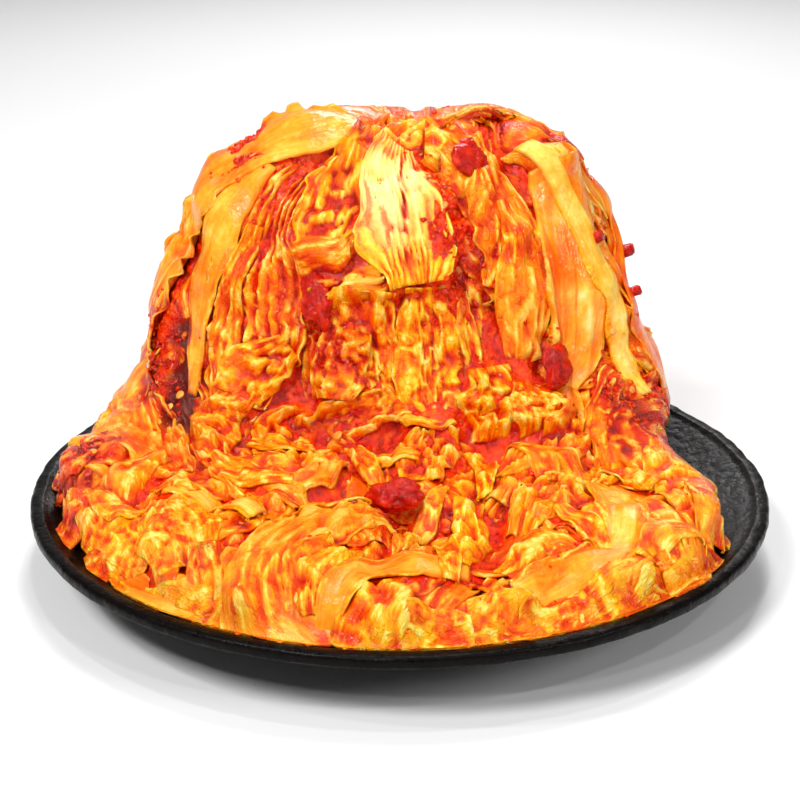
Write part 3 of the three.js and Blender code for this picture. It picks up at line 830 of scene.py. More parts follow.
def sauce_material(name):
    """Thick red sauce: near-black red in the listed hollows as painted shade, minced bits of other reds and oranges in
    it.
    """
    m = Nodes(name)
    a = m.t.nodes.new("ShaderNodeAttribute")
    a.attribute_name = "kim"
    sep = m.node("ShaderNodeSeparateColor", Color=a.outputs["Color"])
    g, q, t = sep.outputs[0], sep.outputs[2], a.outputs["Alpha"]
    n1, n2, n3 = m.noise(110, 3, 0.6), m.noise(560, 2, 0.6), m.noise(1900, 1, 0.6)
    half = lambda v, k: m.math("MULTIPLY", m.math("SUBTRACT", v, 0.5), k)
    x = m.math("ADD", m.math("MULTIPLY", g, 0.42), m.math("ADD", half(n2, 1.0), half(n1, 0.9)))
    x = m.math("ADD", x, half(t, 0.3))
    col = m.ramp(m.math("ADD", x, 0.22), (0.0, lin(130, 2, 0)), (0.2, lin(186, 10, 0)), (0.42, lin(226, 34, 0)), (0.66, lin(240, 66, 0)), (0.95, lin(246, 118, 14)))
    h = m.math("ADD", m.math("MULTIPLY", n2, 1.0), m.math("MULTIPLY", n3, 0.4))
    nrm = m.bump(h, 0.8, 0.0009)
    # painted shade: near-black red in the listed hollows
    col = m.mix(m.fit(sep.outputs[1], 0.1, 0.8, 0, 0.9), col, lin(64, 1, 0))
    return m.finish(Base__Color=col, Roughness=m.fit(n2, 0.3, 0.7, 0.06, 0.12), Normal=nrm, **{"Subsurface Weight": 0.2, "Subsurface Radius": (0.005, 0.0009, 0.0002),
                    "Subsurface Scale": 0.9, "Specular IOR Level": 0.45, "Specular Tint": (1.0, 0.82, 0.7, 1.0)})


def seed_material(name):
    """Seeds and chips stained by the sauce."""
    m = Nodes(name)
    a = m.t.nodes.new("ShaderNodeAttribute")
    a.attribute_name = "kim"
    sep = m.node("ShaderNodeSeparateColor", Color=a.outputs["Color"])
    n1 = m.noise(500, 3)
    x = m.math("ADD", m.math("MULTIPLY", a.outputs["Alpha"], 0.7), m.math("MULTIPLY", m.math("SUBTRACT", n1, 0.5), 0.8))
    col = m.ramp(x, (0.0, lin(250, 186, 84)), (0.35, lin(246, 142, 36)), (0.65, lin(238, 98, 12)), (1.0, lin(218, 56, 0)))
    return m.finish(Base__Color=col, Roughness=0.28, Normal=m.bump(n1, 0.4, 0.0005), **{"Subsurface Weight": 0.2, "Subsurface Radius": (0.003, 0.0012, 0.0004),
                    "Subsurface Scale": 0.8, "Coat Weight": 0.4, "Coat Roughness": 0.05})


def flake_material(name):
    m = Nodes(name)
    a = m.t.nodes.new("ShaderNodeAttribute")
    a.attribute_name = "kim"
    n1 = m.noise(600, 3)
    x = m.math("ADD", m.math("MULTIPLY", a.outputs["Alpha"], 0.6), m.math("MULTIPLY", n1, 0.5))
    col = m.ramp(x, (0.1, lin(128, 4, 0)), (0.5, lin(186, 14, 0)), (0.9, lin(222, 44, 4)))
    return m.finish(Base__Color=col, Roughness=0.24, Normal=m.bump(n1, 0.5, 0.0005), **{"Coat Weight": 0.5, "Coat Roughness": 0.05})


def dish_material(name):
    m = Nodes(name)
    n1, n2, n3 = m.noise(60, 4, 0.65), m.noise(380, 3, 0.6), m.noise(1500, 2)
    v = m.voronoi(260)
    col = m.ramp(n1, (0.3, lin(6, 3, 2)), (0.6, lin(9, 6, 5)), (0.85, lin(16, 11, 9)))
    col = m.mix(m.fit(n2, 0.66, 0.84, 0, 0.3), col, lin(46, 38, 33))
    h = m.math("ADD", m.math("MULTIPLY", n2, 1.0), m.math("MULTIPLY", m.math("SUBTRACT", 1.0, v), 0.5))
    h = m.math("ADD", h, m.math("MULTIPLY", n1, 1.5))
    return m.finish(Base__Color=col, Roughness=m.fit(n2, 0.3, 0.7, 0.26, 0.42), Normal=m.bump(m.math("ADD", h, m.math("MULTIPLY", n3, 0.2)), 0.5, 0.0007), **{"Specular IOR Level": 0.3, "IOR": 1.22})


mat_leaf = kimchi_material("kimchi_leaf")
mat_pepper = pepper_material("red_pepper_skin")
mat_dish = dish_material("black_stoneware")
mat_sauce = sauce_material("kimchi_sauce")
mat_seed = seed_material("stained_seed")
mat_flake = flake_material("pepper_flake")


# ------------------------------------------------------------------ the core: a sauce-red mass under the leaves, painted dark maroon where it shows in the gaps, as painted shade
def build_core():
    a = np.linspace(0, 2 * np.pi, 300, endpoint=False)
    t = np.r_[np.linspace(0.03, 0.06, 8)[:-1], np.linspace(0.06, 1.0, 150)]
    A, T = np.meshgrid(a, t, indexing="ij")
    p = np.stack([(1 - T) * np.cos(A), (1 - T) * np.sin(A)], -1)
    P, N = at(S, p), at(SN, p)
    n = fbm(P[..., 0] / 11, P[..., 1] / 11, P[..., 2] / 11, seed=3, octaves=4)
    f = fbm(P[..., 0] / 3.2, P[..., 1] / 3.2, P[..., 2] / 3.2, seed=4, octaves=3)
    P = P + N * (2.2 * n + 1.1 * f - 1.5)[..., None]
    P[..., 2] = np.maximum(P[..., 2], dish_inside(np.hypot(P[..., 0], P[..., 1])) + 0.5)
    foot = P[:, :1].copy()
    foot[..., 2] = dish_inside(np.hypot(foot[..., 0], foot[..., 1])) + 0.35
    P = np.concatenate([foot, P], 1)
    P = np.concatenate([P, P[:1]], 0)
    q, n3, m3 = sauce_at(P)
    relief_shade = np.clip(0.35 + 0.3 * np.concatenate([np.concatenate([f[:, :1], f], 1), np.concatenate([f[:1, :1], f[:1]], 1)], 0), 0, 1)
    # painted shade: the core's sauce value is set high, which paints it dark maroon
    val = np.stack([relief_shade, 0 * q, np.clip(0.9 + 0.3 * n3, 0, 1), np.clip(0.9 + 0.2 * n3, 0, 1), P[..., 0], P[..., 2], P[..., 1]], -1)
    nr = np.concatenate([np.concatenate([N[:, :1], N], 1), np.concatenate([N[:1, :1], N[:1]], 1)], 0)
    return build_group("kimchi_core", [(P, val, nr, (900.0, 260.0))], mat_leaf)


# ------------------------------------------------------------------ the leaves
rng = np.random.default_rng(11)


def any_leaf(group, az, t0, t1, w, seed, res=1.9, sway=0.0, kind=None, **more):
    """A leaf of one of the kinds in a heap, hanging from t0 to t1 near an azimuth."""
    kind = kind or rng.choice(["heart", "rib", "stalk"], p=[0.45, 0.35, 0.2])
    n = 4
    bend = rng.normal(0, 1, 2)
    sp = []
    for i in range(n):
        f = i / (n - 1)
        t = t0 + (t1 - t0) * f
        a = az + (sway * f + 5 * bend[0] * math.sin(math.pi * f) + 3 * bend[1] * math.sin(2 * math.pi * f)) * (0.6 / max(0.25, 1 - t) + 0.4)
        sp.append((a, t))
    tint = float(rng.uniform(0.25, 0.7))
    sauce = float(rng.uniform(0.1, 0.55))
    args = dict(seed=seed, res=res, tint=tint, sauce=sauce)
    if kind == "heart":
        args.update(folds=(7.5, 4.0, 1.6), ribs=(5, 0.6, 3), ruffle=(12, 1.3, 0.6), rag=0.12)
        wd = [0.5 * w, 0.95 * w, 1.1 * w, 0.7 * w]
    elif kind == "rib":
        args.update(ribs=(5, 0.9, 5), folds=(9, 2.8, 3), pleat=(int(w / 2.2), 2.2), ruffle=(13, 1.2, 0.6), crumple=0.7, rag=0.12)
        wd = [0.7 * w, w, 1.0 * w, 0.6 * w]
    else:
        args.update(stalk=(0.62 * w, 0.3 * w, 3.6, 0.85), folds=(9, 2.0, 2.5), ruffle=(14, 1.6, 0.5), crumple=0.7, rag=0.12)
        wd = [0.65 * w, 0.75 * w, 0.9 * w, 0.5 * w]
    args.update(more)
    leaf(group, sp, [float(x) for x in wd], **args)


def lying(group, az, t, direction, length, w, seed, res=1.6, **more):
    """A torn leaf lying at (az, t), turned by direction in degrees (0 runs outwards, downhill)."""
    c = disc(az, t)
    a = math.radians(az + direction)
    # half its length either way, in disc units, by the map's scale here
    scale = np.linalg.norm(at(SA, c) * math.cos(a) + at(SB, c) * math.sin(a))
    h = length / 2 / max(scale, 1)
    b = math.radians(rng.uniform(-35, 35))
    pts = []
    for f in (-1, 0, 1):
        q = c + f * h * np.array([math.cos(a + 0.5 * f * b), math.sin(a + 0.5 * f * b)])
        r = np.linalg.norm(q)
        if r > 0.985:
            q = q / r * 0.985
        pts.append((math.degrees(math.atan2(q[1], q[0])), 1 - float(np.linalg.norm(q))))
    args = dict(seed=seed, res=res, tint=float(rng.uniform(0.25, 0.65)), sauce=float(rng.uniform(0.15, 0.5)))
    kind = rng.choice(["heart", "rib", "strip"], p=[0.55, 0.25, 0.2])
    if kind == "heart":
        args.update(folds=(7, 4.0, 1.4), ribs=(5, 0.6, 3), dome=float(rng.uniform(1, 4)))
        wd = [0.6 * w, 1.05 * w, 0.65 * w]
    elif kind == "rib":
        args.update(ribs=(5, 0.9, 5), folds=(8, 2.8, 2.5), dome=float(rng.uniform(1, 3)), curl=((0.65, 4), None) if rng.random() < 0.5 else (None, (0.65, 4)))
        wd = [0.6 * w, 0.95 * w, 0.6 * w]
    else:
        args.update(stalk=(0.42 * w, 0.25 * w, 3.0, 1.15), folds=(8, 1.4, 3), crumple=0.6)
        wd = [0.35 * w, 0.55 * w, 0.35 * w]
    args.update(more)
    leaf(group, pts, [float(x) for x in wd], **args)


# under the leaves that show at the front: a first layer over the whole heap
seed = 1000
for az in np.arange(-180, 180, 24):
    seed += 1
    any_leaf("under", az + rng.uniform(-8, 8), 0.88, 0.34, 19, seed, res=1.7, sauce=0.75, tint=0.7, top=-4)
for az in np.arange(-176, 180, 17):
    seed += 1
    lying("under", az + rng.uniform(-5, 5), rng.uniform(0.05, 0.12), rng.uniform(-60, 60), 44, 15, seed, res=1.5, sauce=0.6, top=-2.5)
for az in np.arange(-160, -20, 16):
    for t in (0.2, 0.32):
        seed += 1
        lying("under", az + rng.uniform(-6, 6), t + rng.uniform(-0.03, 0.03), rng.uniform(-90, 90), 40, 15, seed, res=1.5, sauce=0.55, top=-3)
# small torn pieces filling the apron
for ring_, (t, n_, ln, w_) in enumerate(((0.022, 56, 22, 6.5), (0.07, 46, 26, 9), (0.11, 40, 28, 10), (0.16, 34, 28, 10), (0.24, 26, 26, 10), (0.33, 18, 26, 10))):
    for i in range(n_):
        az = -180 + 360 * (i + rng.uniform(-0.3, 0.3)) / n_
        seed += 1
        lying("fill", az, t + rng.uniform(-0.02, 0.02), rng.uniform(60, 120) if ring_ == 0 else rng.uniform(0, 360), ln * rng.uniform(0.8, 1.2), w_ * rng.uniform(0.8, 1.25), seed, res=1.35,
              tint=float(rng.uniform(0.4, 0.95)), sauce=float(rng.uniform(0.3, 0.75)), top=0.5 if ring_ == 0 else -1.5, lift=1.6 if ring_ == 0 else 0.5)

# the sides and the back
for ring_, (t0, t1, w, n) in enumerate(((0.62, 0.10, 17, 11), (0.90, 0.42, 17, 10), (0.965, 0.70, 13, 7))):
    for i in range(n):
        lo, span = (20, 140) if ring_ == 2 else (-12, 204)
        az = lo + (span / n) * (i + 0.5 + rng.uniform(-0.25, 0.25))
        seed += 1
        any_leaf("back", az, t0 + rng.uniform(-0.04, 0.04), t1 + rng.uniform(-0.05, 0.05), w * rng.uniform(0.8, 1.2), seed, res=1.4, sway=rng.uniform(-6, 6), top=-1.5, tint=float(rng.uniform(0.5, 0.95)))
for az in np.arange(-8, 200, 15):
    for t in (0.2, 0.36, 0.54):
        seed += 1
        lying("back", az + rng.uniform(-6, 6), t + rng.uniform(-0.05, 0.05), rng.uniform(-50, 50), 34 * rng.uniform(0.7, 1.2), 10 * rng.uniform(0.7, 1.2), seed, res=1.4, top=-1, tint=float(rng.uniform(0.45, 0.9)))
lying("back", 103, 0.42, 10, 40, 13, 991, res=1.4, top=-1, tint=0.6)
lying("back", 97, 0.3, 60, 40, 13, 992, res=1.4, top=-1, tint=0.7)
for az in np.arange(-20, 205, 13):
    seed += 1
    lying("back", az + rng.uniform(-4, 4), rng.uniform(0.05, 0.1), rng.uniform(40, 120), 34, 11, seed, top=-1)

# the leaves that show at the front, from the bottom up
leaf('front', [(-166.4, 0.702), (-162.2, 0.575), (-157.5, 0.437), (-152.1, 0.327)], [6, 10, 12, 8], res=0.95, ribs=(5, 1.1, 5), folds=(9, 3.6, 3), crumple=1.0, cup=(1.5, 1.5), seed=101, tint=0.75, sauce=0.5)
leaf('front', [(-150.7, 0.765), (-151.3, 0.635), (-148.5, 0.531), (-143.9, 0.449), (-139.5, 0.376)], [9, 14, 17, 17, 12], res=0.95, ribs=(5, 1.1, 5), folds=(9, 2.5, 4), crumple=1.0, cup=(1.5, 1.5), seed=102, pleat=(10, 4.5), tint=0.55, sauce=0.5, ruffle=(14, 1.5, 0.7), top=0.5)
leaf('front', [(-160.0, 0.707), (-161.6, 0.636), (-160.7, 0.56), (-159.1, 0.481), (-155.5, 0.385), (-150.5, 0.31)], [1.2, 4.2, 5.6, 4.6, 3.4, 1.6], res=0.95, crumple=0.5, seed=103, stalk=(4.6, 2.4, 5, 1.1), ribs=(3.5, 0.6, 8), tint=0.5, follow=2.5, top=1, pale=0.3)
leaf('front', [(-153.1, 0.624), (-151.1, 0.514), (-147.4, 0.424), (-142.2, 0.348)], [2, 4, 4.5, 3], res=0.95, ribs=(5, 1.1, 5), folds=(9, 3.6, 3), crumple=1.0, cup=(1.5, 1.5), seed=104, pleat=(3, 2.5), tint=0.45, sauce=0.3)
leaf('front', [(-158.2, 0.892), (-165.6, 0.799), (-170.5, 0.696), (-172.8, 0.602), (-173.5, 0.512), (-172.4, 0.43), (-171.7, 0.338), (-170.5, 0.245), (-166.0, 0.171), (-150.1, 0.198), (-130.7, 0.202)], [5, 6.5, 7, 7, 7, 7, 8, 9.5, 10, 8, 3.5], res=0.95, ribs=(5, 1.1, 5), folds=(9, 3.0, 2.5), crumple=1.0, cup=(0, 3), seed=105, left=1.9, right=1.0, stalk=(11, 2.5, 2.5, 0.45), ruffle=(12, 2.6, 0.5), tint=0.58, pale=0.35, lift=1.5, root=3.5, sauce=0.15, top=1.5)
leaf('front', [(-35.5, 0.914), (-77.0, 0.933), (-115.3, 0.895), (-131.2, 0.841)], [8, 11, 12, 8], res=0.95, folds=(8, 5.2, 1.4), ribs=(5, 0.7, 3), crumple=1.3, cup=(2, 2), seed=106, tint=0.5, sauce=0.4)
leaf('front', [(-18.4, 0.889), (-9.9, 0.797), (-9.0, 0.711), (-5.8, 0.603)], [7, 10, 10, 7], res=0.95, ribs=(5, 1.1, 5), folds=(9, 3.6, 3), crumple=1.0, cup=(1.5, 1.5), seed=107, tint=0.55, sauce=0.5)
leaf('front', [(-42.0, 0.933), (-34.8, 0.86), (-34.9, 0.799), (-45.9, 0.77)], [8, 11, 10, 6], res=0.95, ribs=(5, 1.1, 5), folds=(9, 3.6, 3), crumple=1.0, cup=(1.5, 1.5), seed=108, tint=0.5, sauce=0.35, ruffle=(12, 1.5, 0.6))
leaf('front', [(-132.0, 0.865), (-127.1, 0.793), (-125.2, 0.731), (-124.5, 0.691)], [8, 12, 14, 9], res=0.95, folds=(8, 5.2, 1.4), ribs=(5, 0.7, 3), crumple=1.3, cup=(2, 2), seed=109, tint=0.3, ruffle=(9, 2.4, 0.5))
leaf('front', [(-90.0, 0.735), (-113.6, 0.7), (-134.4, 0.643)], [7, 11, 9], res=0.95, folds=(8, 5.2, 1.4), ribs=(5, 0.7, 3), crumple=1.3, cup=(2, 2), seed=110, tint=0.65, sauce=0.55, curl=((0.55, 4.5), None), lift=2.5)
leaf('front', [(-22.6, 0.805), (-33.7, 0.73), (-40.0, 0.674), (-48.2, 0.625)], [7, 9, 8, 5], res=0.95, ribs=(5, 1.1, 5), folds=(9, 3.6, 3), crumple=1.0, cup=(1.5, 1.5), seed=111, tint=0.55, ruffle=(12, 2.0, 0.5), curl=(None, (0.7, 4)))
leaf('front', [(-90.0, 0.92), (-93.9, 0.855), (-84.7, 0.784), (-80.4, 0.701)], [6, 16, 18, 12], res=0.95, ribs=(5, 0.9, 5), folds=(8, 2.6, 2.5), crumple=1.0, cup=(1.5, 1.5), seed=112, tint=0.08, fan=(12, 1.6), tip=4, lift=1.5, ruffle=(10, 1.6, 0.7), pale=0.0, sauce=0.0, dome=3.5, top=1, glow=True)
leaf('front', [(-32.9, 0.696), (-35.5, 0.613), (-39.8, 0.531), (-45.0, 0.47)], [4, 8, 9, 6], res=0.95, ribs=(5, 1.1, 5), folds=(9, 1.8, 3), crumple=0.6, cup=(1.5, 1.5), seed=113, tint=0.5, pale=0.3, sauce=0.25)
leaf('front', [(-12.3, 0.647), (-21.0, 0.513), (-25.2, 0.425), (-28.3, 0.336), (-34.2, 0.323)], [6, 10, 12.5, 12, 7], res=0.95, crumple=1.1, seed=114, stalk=(11, 9, 4.0, 1.15), glow=True, tint=0.6, sauce=0.25, folds=(11, 3.4, 4), ribs=(7, 0.7, 8), rag=0.1, top=0.5)
leaf('front', [(-15.3, 0.715), (-16.9, 0.587), (-17.5, 0.434), (-16.2, 0.282), (-17.8, 0.133)], [1.4, 3.2, 3.8, 3.6, 2.4], res=0.95, crumple=0.5, seed=115, stalk=(3.2, 2.6, 3.2, 1.2), tint=0.35, lift=1.5, follow=2.5)
leaf('front', [(8.7, 0.535), (6.7, 0.396), (-6.5, 0.295), (-6.5, 0.165), (-7.1, 0.073)], [3, 4.5, 5, 5, 4], res=0.95, crumple=0.5, seed=116, left=0.9, right=1.6, stalk=(3.4, 2.6, 3.2, 1.2), tint=0.8, sauce=0.3, lift=1.5, follow=2.5)
leaf('front', [(-104.7, 0.685), (-103.3, 0.63), (-100.7, 0.568), (-96.5, 0.517)], [9, 12, 12, 9], res=0.95, folds=(7, 2.8, 2.5), ribs=(5, 0.7, 3), crumple=1.3, cup=(2, 2), seed=117, tint=0.4)
leaf('front', [(-77.8, 0.693), (-77.6, 0.626), (-78.2, 0.561), (-78.3, 0.505)], [8, 11, 12, 9], res=0.95, folds=(6, 2.8, 3.0), ribs=(5, 0.7, 3), crumple=1.3, cup=(2, 2), seed=118, tint=0.22)
leaf('front', [(-60.0, 0.66), (-60.8, 0.611), (-60.3, 0.557), (-63.4, 0.519)], [1.4, 3.6, 4, 2], res=0.95, ribs=(5, 1.1, 5), folds=(5, 2.2, 3), crumple=1.0, cup=(1.5, 1.5), seed=119, tint=0.2, pale=0.25, curl=(None, (0.6, 3)))
leaf('front', [(-130.8, 0.518), (-136.1, 0.452), (-138.7, 0.394)], [6, 10, 8], res=0.95, folds=(8, 5.2, 1.4), ribs=(5, 0.7, 3), crumple=1.3, cup=(2, 2), seed=120, tint=0.35)
leaf('front', [(-90.0, 0.54), (-102.9, 0.508), (-113.4, 0.471)], [7, 10, 8], res=0.95, folds=(8, 5.2, 1.4), ribs=(5, 0.7, 3), crumple=1.3, cup=(2, 2), seed=121, tint=0.55, sauce=0.45, ruffle=(10, 2.2, 0.5))
leaf('front', [(-112.2, 0.617), (-114.0, 0.557), (-114.0, 0.508)], [6, 8, 6], res=0.95, folds=(8, 5.2, 1.4), ribs=(5, 0.7, 3), crumple=1.3, cup=(2, 2), seed=122, tint=0.6, sauce=0.75)
leaf('front', [(-56.8, 0.534), (-57.2, 0.483), (-59.1, 0.435)], [8, 13, 9], res=0.95, folds=(8, 5.2, 1.4), ribs=(5, 0.7, 3), crumple=1.3, cup=(2, 2), seed=123, tint=0.3, dome=5)
leaf('front', [(-45.4, 0.452), (-46.8, 0.423), (-50.3, 0.389)], [7, 11, 8], res=0.95, folds=(8, 5.2, 1.4), ribs=(5, 0.7, 3), crumple=1.3, cup=(2, 2), seed=124, tint=0.35, dome=4)
leaf('front', [(-139.7, 0.39), (-140.7, 0.328), (-133.3, 0.286)], [5, 9, 6], res=0.95, folds=(8, 5.2, 1.4), ribs=(5, 0.7, 3), crumple=1.3, cup=(2, 2), seed=125, tint=0.45, curl=((0.6, 4), None), dome=3)
leaf('front', [(-122.3, 0.467), (-124.4, 0.424), (-121.7, 0.371)], [7, 10, 7], res=0.95, folds=(8, 5.2, 1.4), ribs=(5, 0.7, 3), crumple=1.3, cup=(2, 2), seed=126, tint=0.55, sauce=0.7)
leaf('front', [(-19.9, 0.192), (-32.9, 0.19), (-52.2, 0.241)], [5, 8, 6], res=0.95, ribs=(5, 1.1, 5), folds=(9, 3.6, 3), crumple=1.0, cup=(1.5, 1.5), seed=127, tint=0.45, pleat=(4, 2))
leaf('front', [(-7.9, 0.091), (-9.1, -0.008), (-43.0, 0.105)], [7, 12, 9], res=0.95, ribs=(5, 1.1, 5), folds=(9, 3.6, 3), crumple=1.0, cup=(1.5, 1.5), seed=128, tint=0.8, sauce=0.85)
leaf('front', [(-37.3, 0.315), (-44.4, 0.335), (-55.8, 0.323)], [6, 9, 6], res=0.95, folds=(8, 5.2, 1.4), ribs=(5, 0.7, 3), crumple=1.3, cup=(2, 2), seed=129, tint=0.6, sauce=0.5)
leaf('front', [(-76.8, 0.497), (-81.5, 0.459), (-85.3, 0.393)], [6, 10, 8], res=0.95, folds=(8, 5.2, 1.4), ribs=(5, 0.7, 3), crumple=1.3, cup=(2, 2), seed=130, tint=0.45, sauce=0.4)
leaf('front', [(-149.9, 0.093), (-148.9, 0.06), (-145.3, 0.033)], [4, 6, 4], res=0.95, folds=(8, 5.2, 1.4), ribs=(5, 0.7, 3), crumple=1.3, cup=(2, 2), seed=131, tint=0.8, sauce=0.9, dome=3)
leaf('front', [(-139.6, 0.198), (-137.8, 0.136), (-132.5, 0.091)], [3, 6, 4], res=0.95, ribs=(5, 1.1, 5), folds=(9, 3.6, 3), crumple=1.0, cup=(1.5, 1.5), seed=132, tint=0.45, dome=3)
leaf('front', [(-123.0, 0.32), (-111.2, 0.351), (-103.6, 0.403)], [6, 11, 7], res=0.95, folds=(8, 5.2, 1.4), ribs=(5, 0.7, 3), crumple=1.3, cup=(2, 2), seed=133, tint=0.5, sauce=0.5, ruffle=(12, 2.5, 0.5))
leaf('front', [(-136.4, 0.254), (-121.8, 0.288), (-107.5, 0.287)], [4, 8, 5], res=0.95, ribs=(5, 1.1, 5), folds=(9, 3.6, 3), crumple=1.0, cup=(1.5, 1.5), seed=134, tint=0.55, sauce=0.35, curl=(None, (0.5, 4)))
leaf('front', [(-129.9, 0.166), (-121.5, 0.196), (-111.2, 0.185)], [4, 6.5, 4], res=0.95, crumple=0.5, seed=135, tint=0.4, stalk=(4, 2.5, 3, 1), folds=(6, 1.5, 3))
leaf('front', [(-137.6, 0.052), (-129.2, 0.051), (-120.0, 0.03)], [5, 9, 7], res=0.95, ribs=(5, 1.1, 5), folds=(9, 3.6, 3), crumple=1.0, cup=(1.5, 1.5), seed=136, tint=0.42, lat=(4.2, 0.5, 1.3), dome=3)
leaf('front', [(-125.0, 0.128), (-118.6, 0.101), (-113.8, 0.06)], [7, 12, 8], res=0.95, folds=(8, 5.2, 1.4), ribs=(5, 0.7, 3), crumple=1.3, cup=(2, 2), seed=137, tint=0.35, dome=6)
leaf('front', [(-113.4, 0.08), (-110.7, 0.038), (-112.3, -0.0), (-116.6, -0.006), (-122.8, -0.006)], [4, 5.5, 6, 5, 3], res=0.95, crumple=0.5, seed=138, tint=0.5, stalk=(4, 2.5, 3.5, 1.1), folds=(9, 1.5, 3), dome=3)
leaf('front', [(-112.4, 0.097), (-108.2, 0.021), (-105.9, -0.019)], [7, 10, 8], res=0.95, ribs=(5, 1.1, 5), folds=(7, 2, 2), crumple=1.0, cup=(1.5, 1.5), seed=139, tint=0.7)
leaf('front', [(-93.7, 0.299), (-101.5, 0.224), (-105.4, 0.113), (-103.9, 0.021), (-98.8, -0.017)], [12, 15, 15, 14, 9], res=0.95, ribs=(5, 1.1, 7), folds=(9, 3.6, 3), crumple=1.0, cup=(1.5, 1.5), seed=140, tint=0.52, pale=0.5, dome=6, pleat=(6, 1.5))
leaf('front', [(-96.8, 0.154), (-99.2, 0.088), (-98.6, 0.029)], [7, 11, 8], res=0.95, folds=(8, 5.2, 1.4), ribs=(5, 0.7, 3), crumple=1.3, cup=(2, 2), seed=141, tint=0.35, dome=4)
leaf('front', [(-88.8, 0.06), (-92.9, 0.019), (-95.1, -0.019)], [7, 12, 8], res=0.95, folds=(8, 5.2, 1.4), ribs=(5, 0.7, 3), crumple=1.3, cup=(2, 2), seed=142, tint=0.38, lat=(6, 0.2, 1.5), dome=4)
leaf('front', [(-82.3, 0.102), (-86.4, 0.113), (-91.3, 0.11), (-95.3, 0.071), (-97.6, 0.011)], [2, 5.5, 6.2, 6, 3], res=0.95, crumple=0.5, seed=143, tint=0.5, pale=0.1, ribs=(3.5, 0.8, 7), stalk=(5, 3, 4.5, 1.1), lift=2, dome=2)
leaf('front', [(-80.5, 0.366), (-85.9, 0.298), (-89.3, 0.21), (-90.3, 0.155)], [1.2, 3.4, 3.8, 1.6], res=0.95, ribs=(5, 1.1, 5), folds=(5, 2.4, 3), crumple=1.0, cup=(1.5, 1.5), seed=144, tint=0.3, pale=0.12, dome=2, curl=((0.6, 3), None))
leaf('front', [(-76.3, 0.326), (-79.3, 0.221), (-82.9, 0.113)], [5, 7, 3], res=0.95, ribs=(5, 1.1, 5), folds=(9, 3.6, 3), crumple=1.0, cup=(1.5, 1.5), seed=145, tint=0.12, dome=3, curl=((0.6, 3.5), None))
leaf('front', [(-69.0, 0.357), (-60.0, 0.359), (-54.4, 0.305), (-54.0, 0.252)], [4, 6, 6, 4], res=0.95, ribs=(5, 1.1, 5), folds=(9, 3.6, 3), crumple=1.0, cup=(1.5, 1.5), seed=146, tint=0.4, curl=(None, (0.5, 3.5)), dome=3)
leaf('front', [(-71.6, 0.225), (-62.9, 0.242), (-57.3, 0.204)], [7, 12, 8], res=0.95, folds=(8, 5.2, 1.4), ribs=(5, 0.7, 3), crumple=1.3, cup=(2, 2), seed=147, tint=0.35, dome=4)
leaf('front', [(-33.6, 0.088), (-43.7, 0.088), (-48.8, 0.029)], [6, 10, 6], res=0.95, folds=(8, 5.2, 1.4), ribs=(5, 0.7, 3), crumple=1.3, cup=(2, 2), seed=148, tint=0.38, dome=3)
leaf('front', [(-54.7, 0.136), (-55.8, 0.057), (-57.2, -0.006)], [7, 12, 8], res=0.95, folds=(8, 5.2, 1.4), ribs=(5, 0.7, 3), crumple=1.3, cup=(2, 2), seed=149, tint=0.45, sauce=0.35, dome=3)
leaf('front', [(-78.4, 0.081), (-72.6, 0.114), (-66.3, 0.104)], [5, 8, 5], res=0.95, ribs=(5, 1.1, 5), folds=(9, 3.6, 3), crumple=1.0, cup=(1.5, 1.5), seed=150, tint=0.3, dome=3)
leaf('front', [(-53.3, 0.196), (-58.0, 0.133), (-64.1, 0.083), (-71.0, 0.064), (-77.6, 0.043)], [7, 8.5, 8, 7, 4], res=0.95, crumple=0.5, seed=151, tint=0.48, stalk=(6, 3.5, 3.5, 1.1), ribs=(4, 0.8, 6), dome=3)
leaf('front', [(-53.2, 0.032), (-53.6, -0.019), (-59.7, -0.02)], [7, 10, 7], res=0.95, ribs=(5, 1.1, 5), folds=(9, 3.6, 3), crumple=1.0, cup=(1.5, 1.5), seed=152, tint=0.55, curl=((0.5, 5), None), dome=3)
leaf('front', [(-89.7, 0.01), (-86.3, -0.002), (-82.6, -0.003)], [6, 9, 6], res=0.95, folds=(8, 5.2, 1.4), ribs=(5, 0.7, 3), crumple=1.3, cup=(2, 2), seed=153, tint=0.42, dome=3)
leaf('front', [(-83.3, 0.013), (-79.8, 0.009), (-76.2, 0.012)], [6, 9, 6], res=0.95, folds=(8, 5.2, 1.4), ribs=(5, 0.7, 3), crumple=1.3, cup=(2, 2), seed=154, tint=0.4, dome=3, sauce=0.3)
leaf('front', [(-77.7, -0.008), (-74.1, -0.003), (-69.8, -0.001)], [6, 9, 6], res=0.95, folds=(8, 5.2, 1.4), ribs=(5, 0.7, 3), crumple=1.3, cup=(2, 2), seed=155, tint=0.45, dome=3)
leaf('front', [(-70.7, 0.004), (-66.4, 0.013), (-61.5, 0.016)], [6, 9, 6], res=0.95, folds=(8, 5.2, 1.4), ribs=(5, 0.7, 3), crumple=1.3, cup=(2, 2), seed=156, tint=0.4, dome=3)
leaf('front', [(-59.9, -0.017), (-63.4, -0.017), (-66.6, -0.019)], [4, 7, 4], res=0.95, ribs=(5, 1.1, 5), folds=(9, 3.6, 3), crumple=1.0, cup=(1.5, 1.5), seed=157, tint=0.5, dome=2)
leaf('front', [(-62.6, 0.403), (-59.3, 0.354), (-59.6, 0.299), (-62.2, 0.26)], [2.16, 3.6, 3.6, 2.16], res=0.95, ribs=(4, 0.8, 5), folds=(6, 2.2, 2.5), crumple=0.8, curl=((0.42, 2.6), (0.42, 2.6)), dome=1.5, lift=1.2, seed=158, tint=0.35, sauce=0.2)
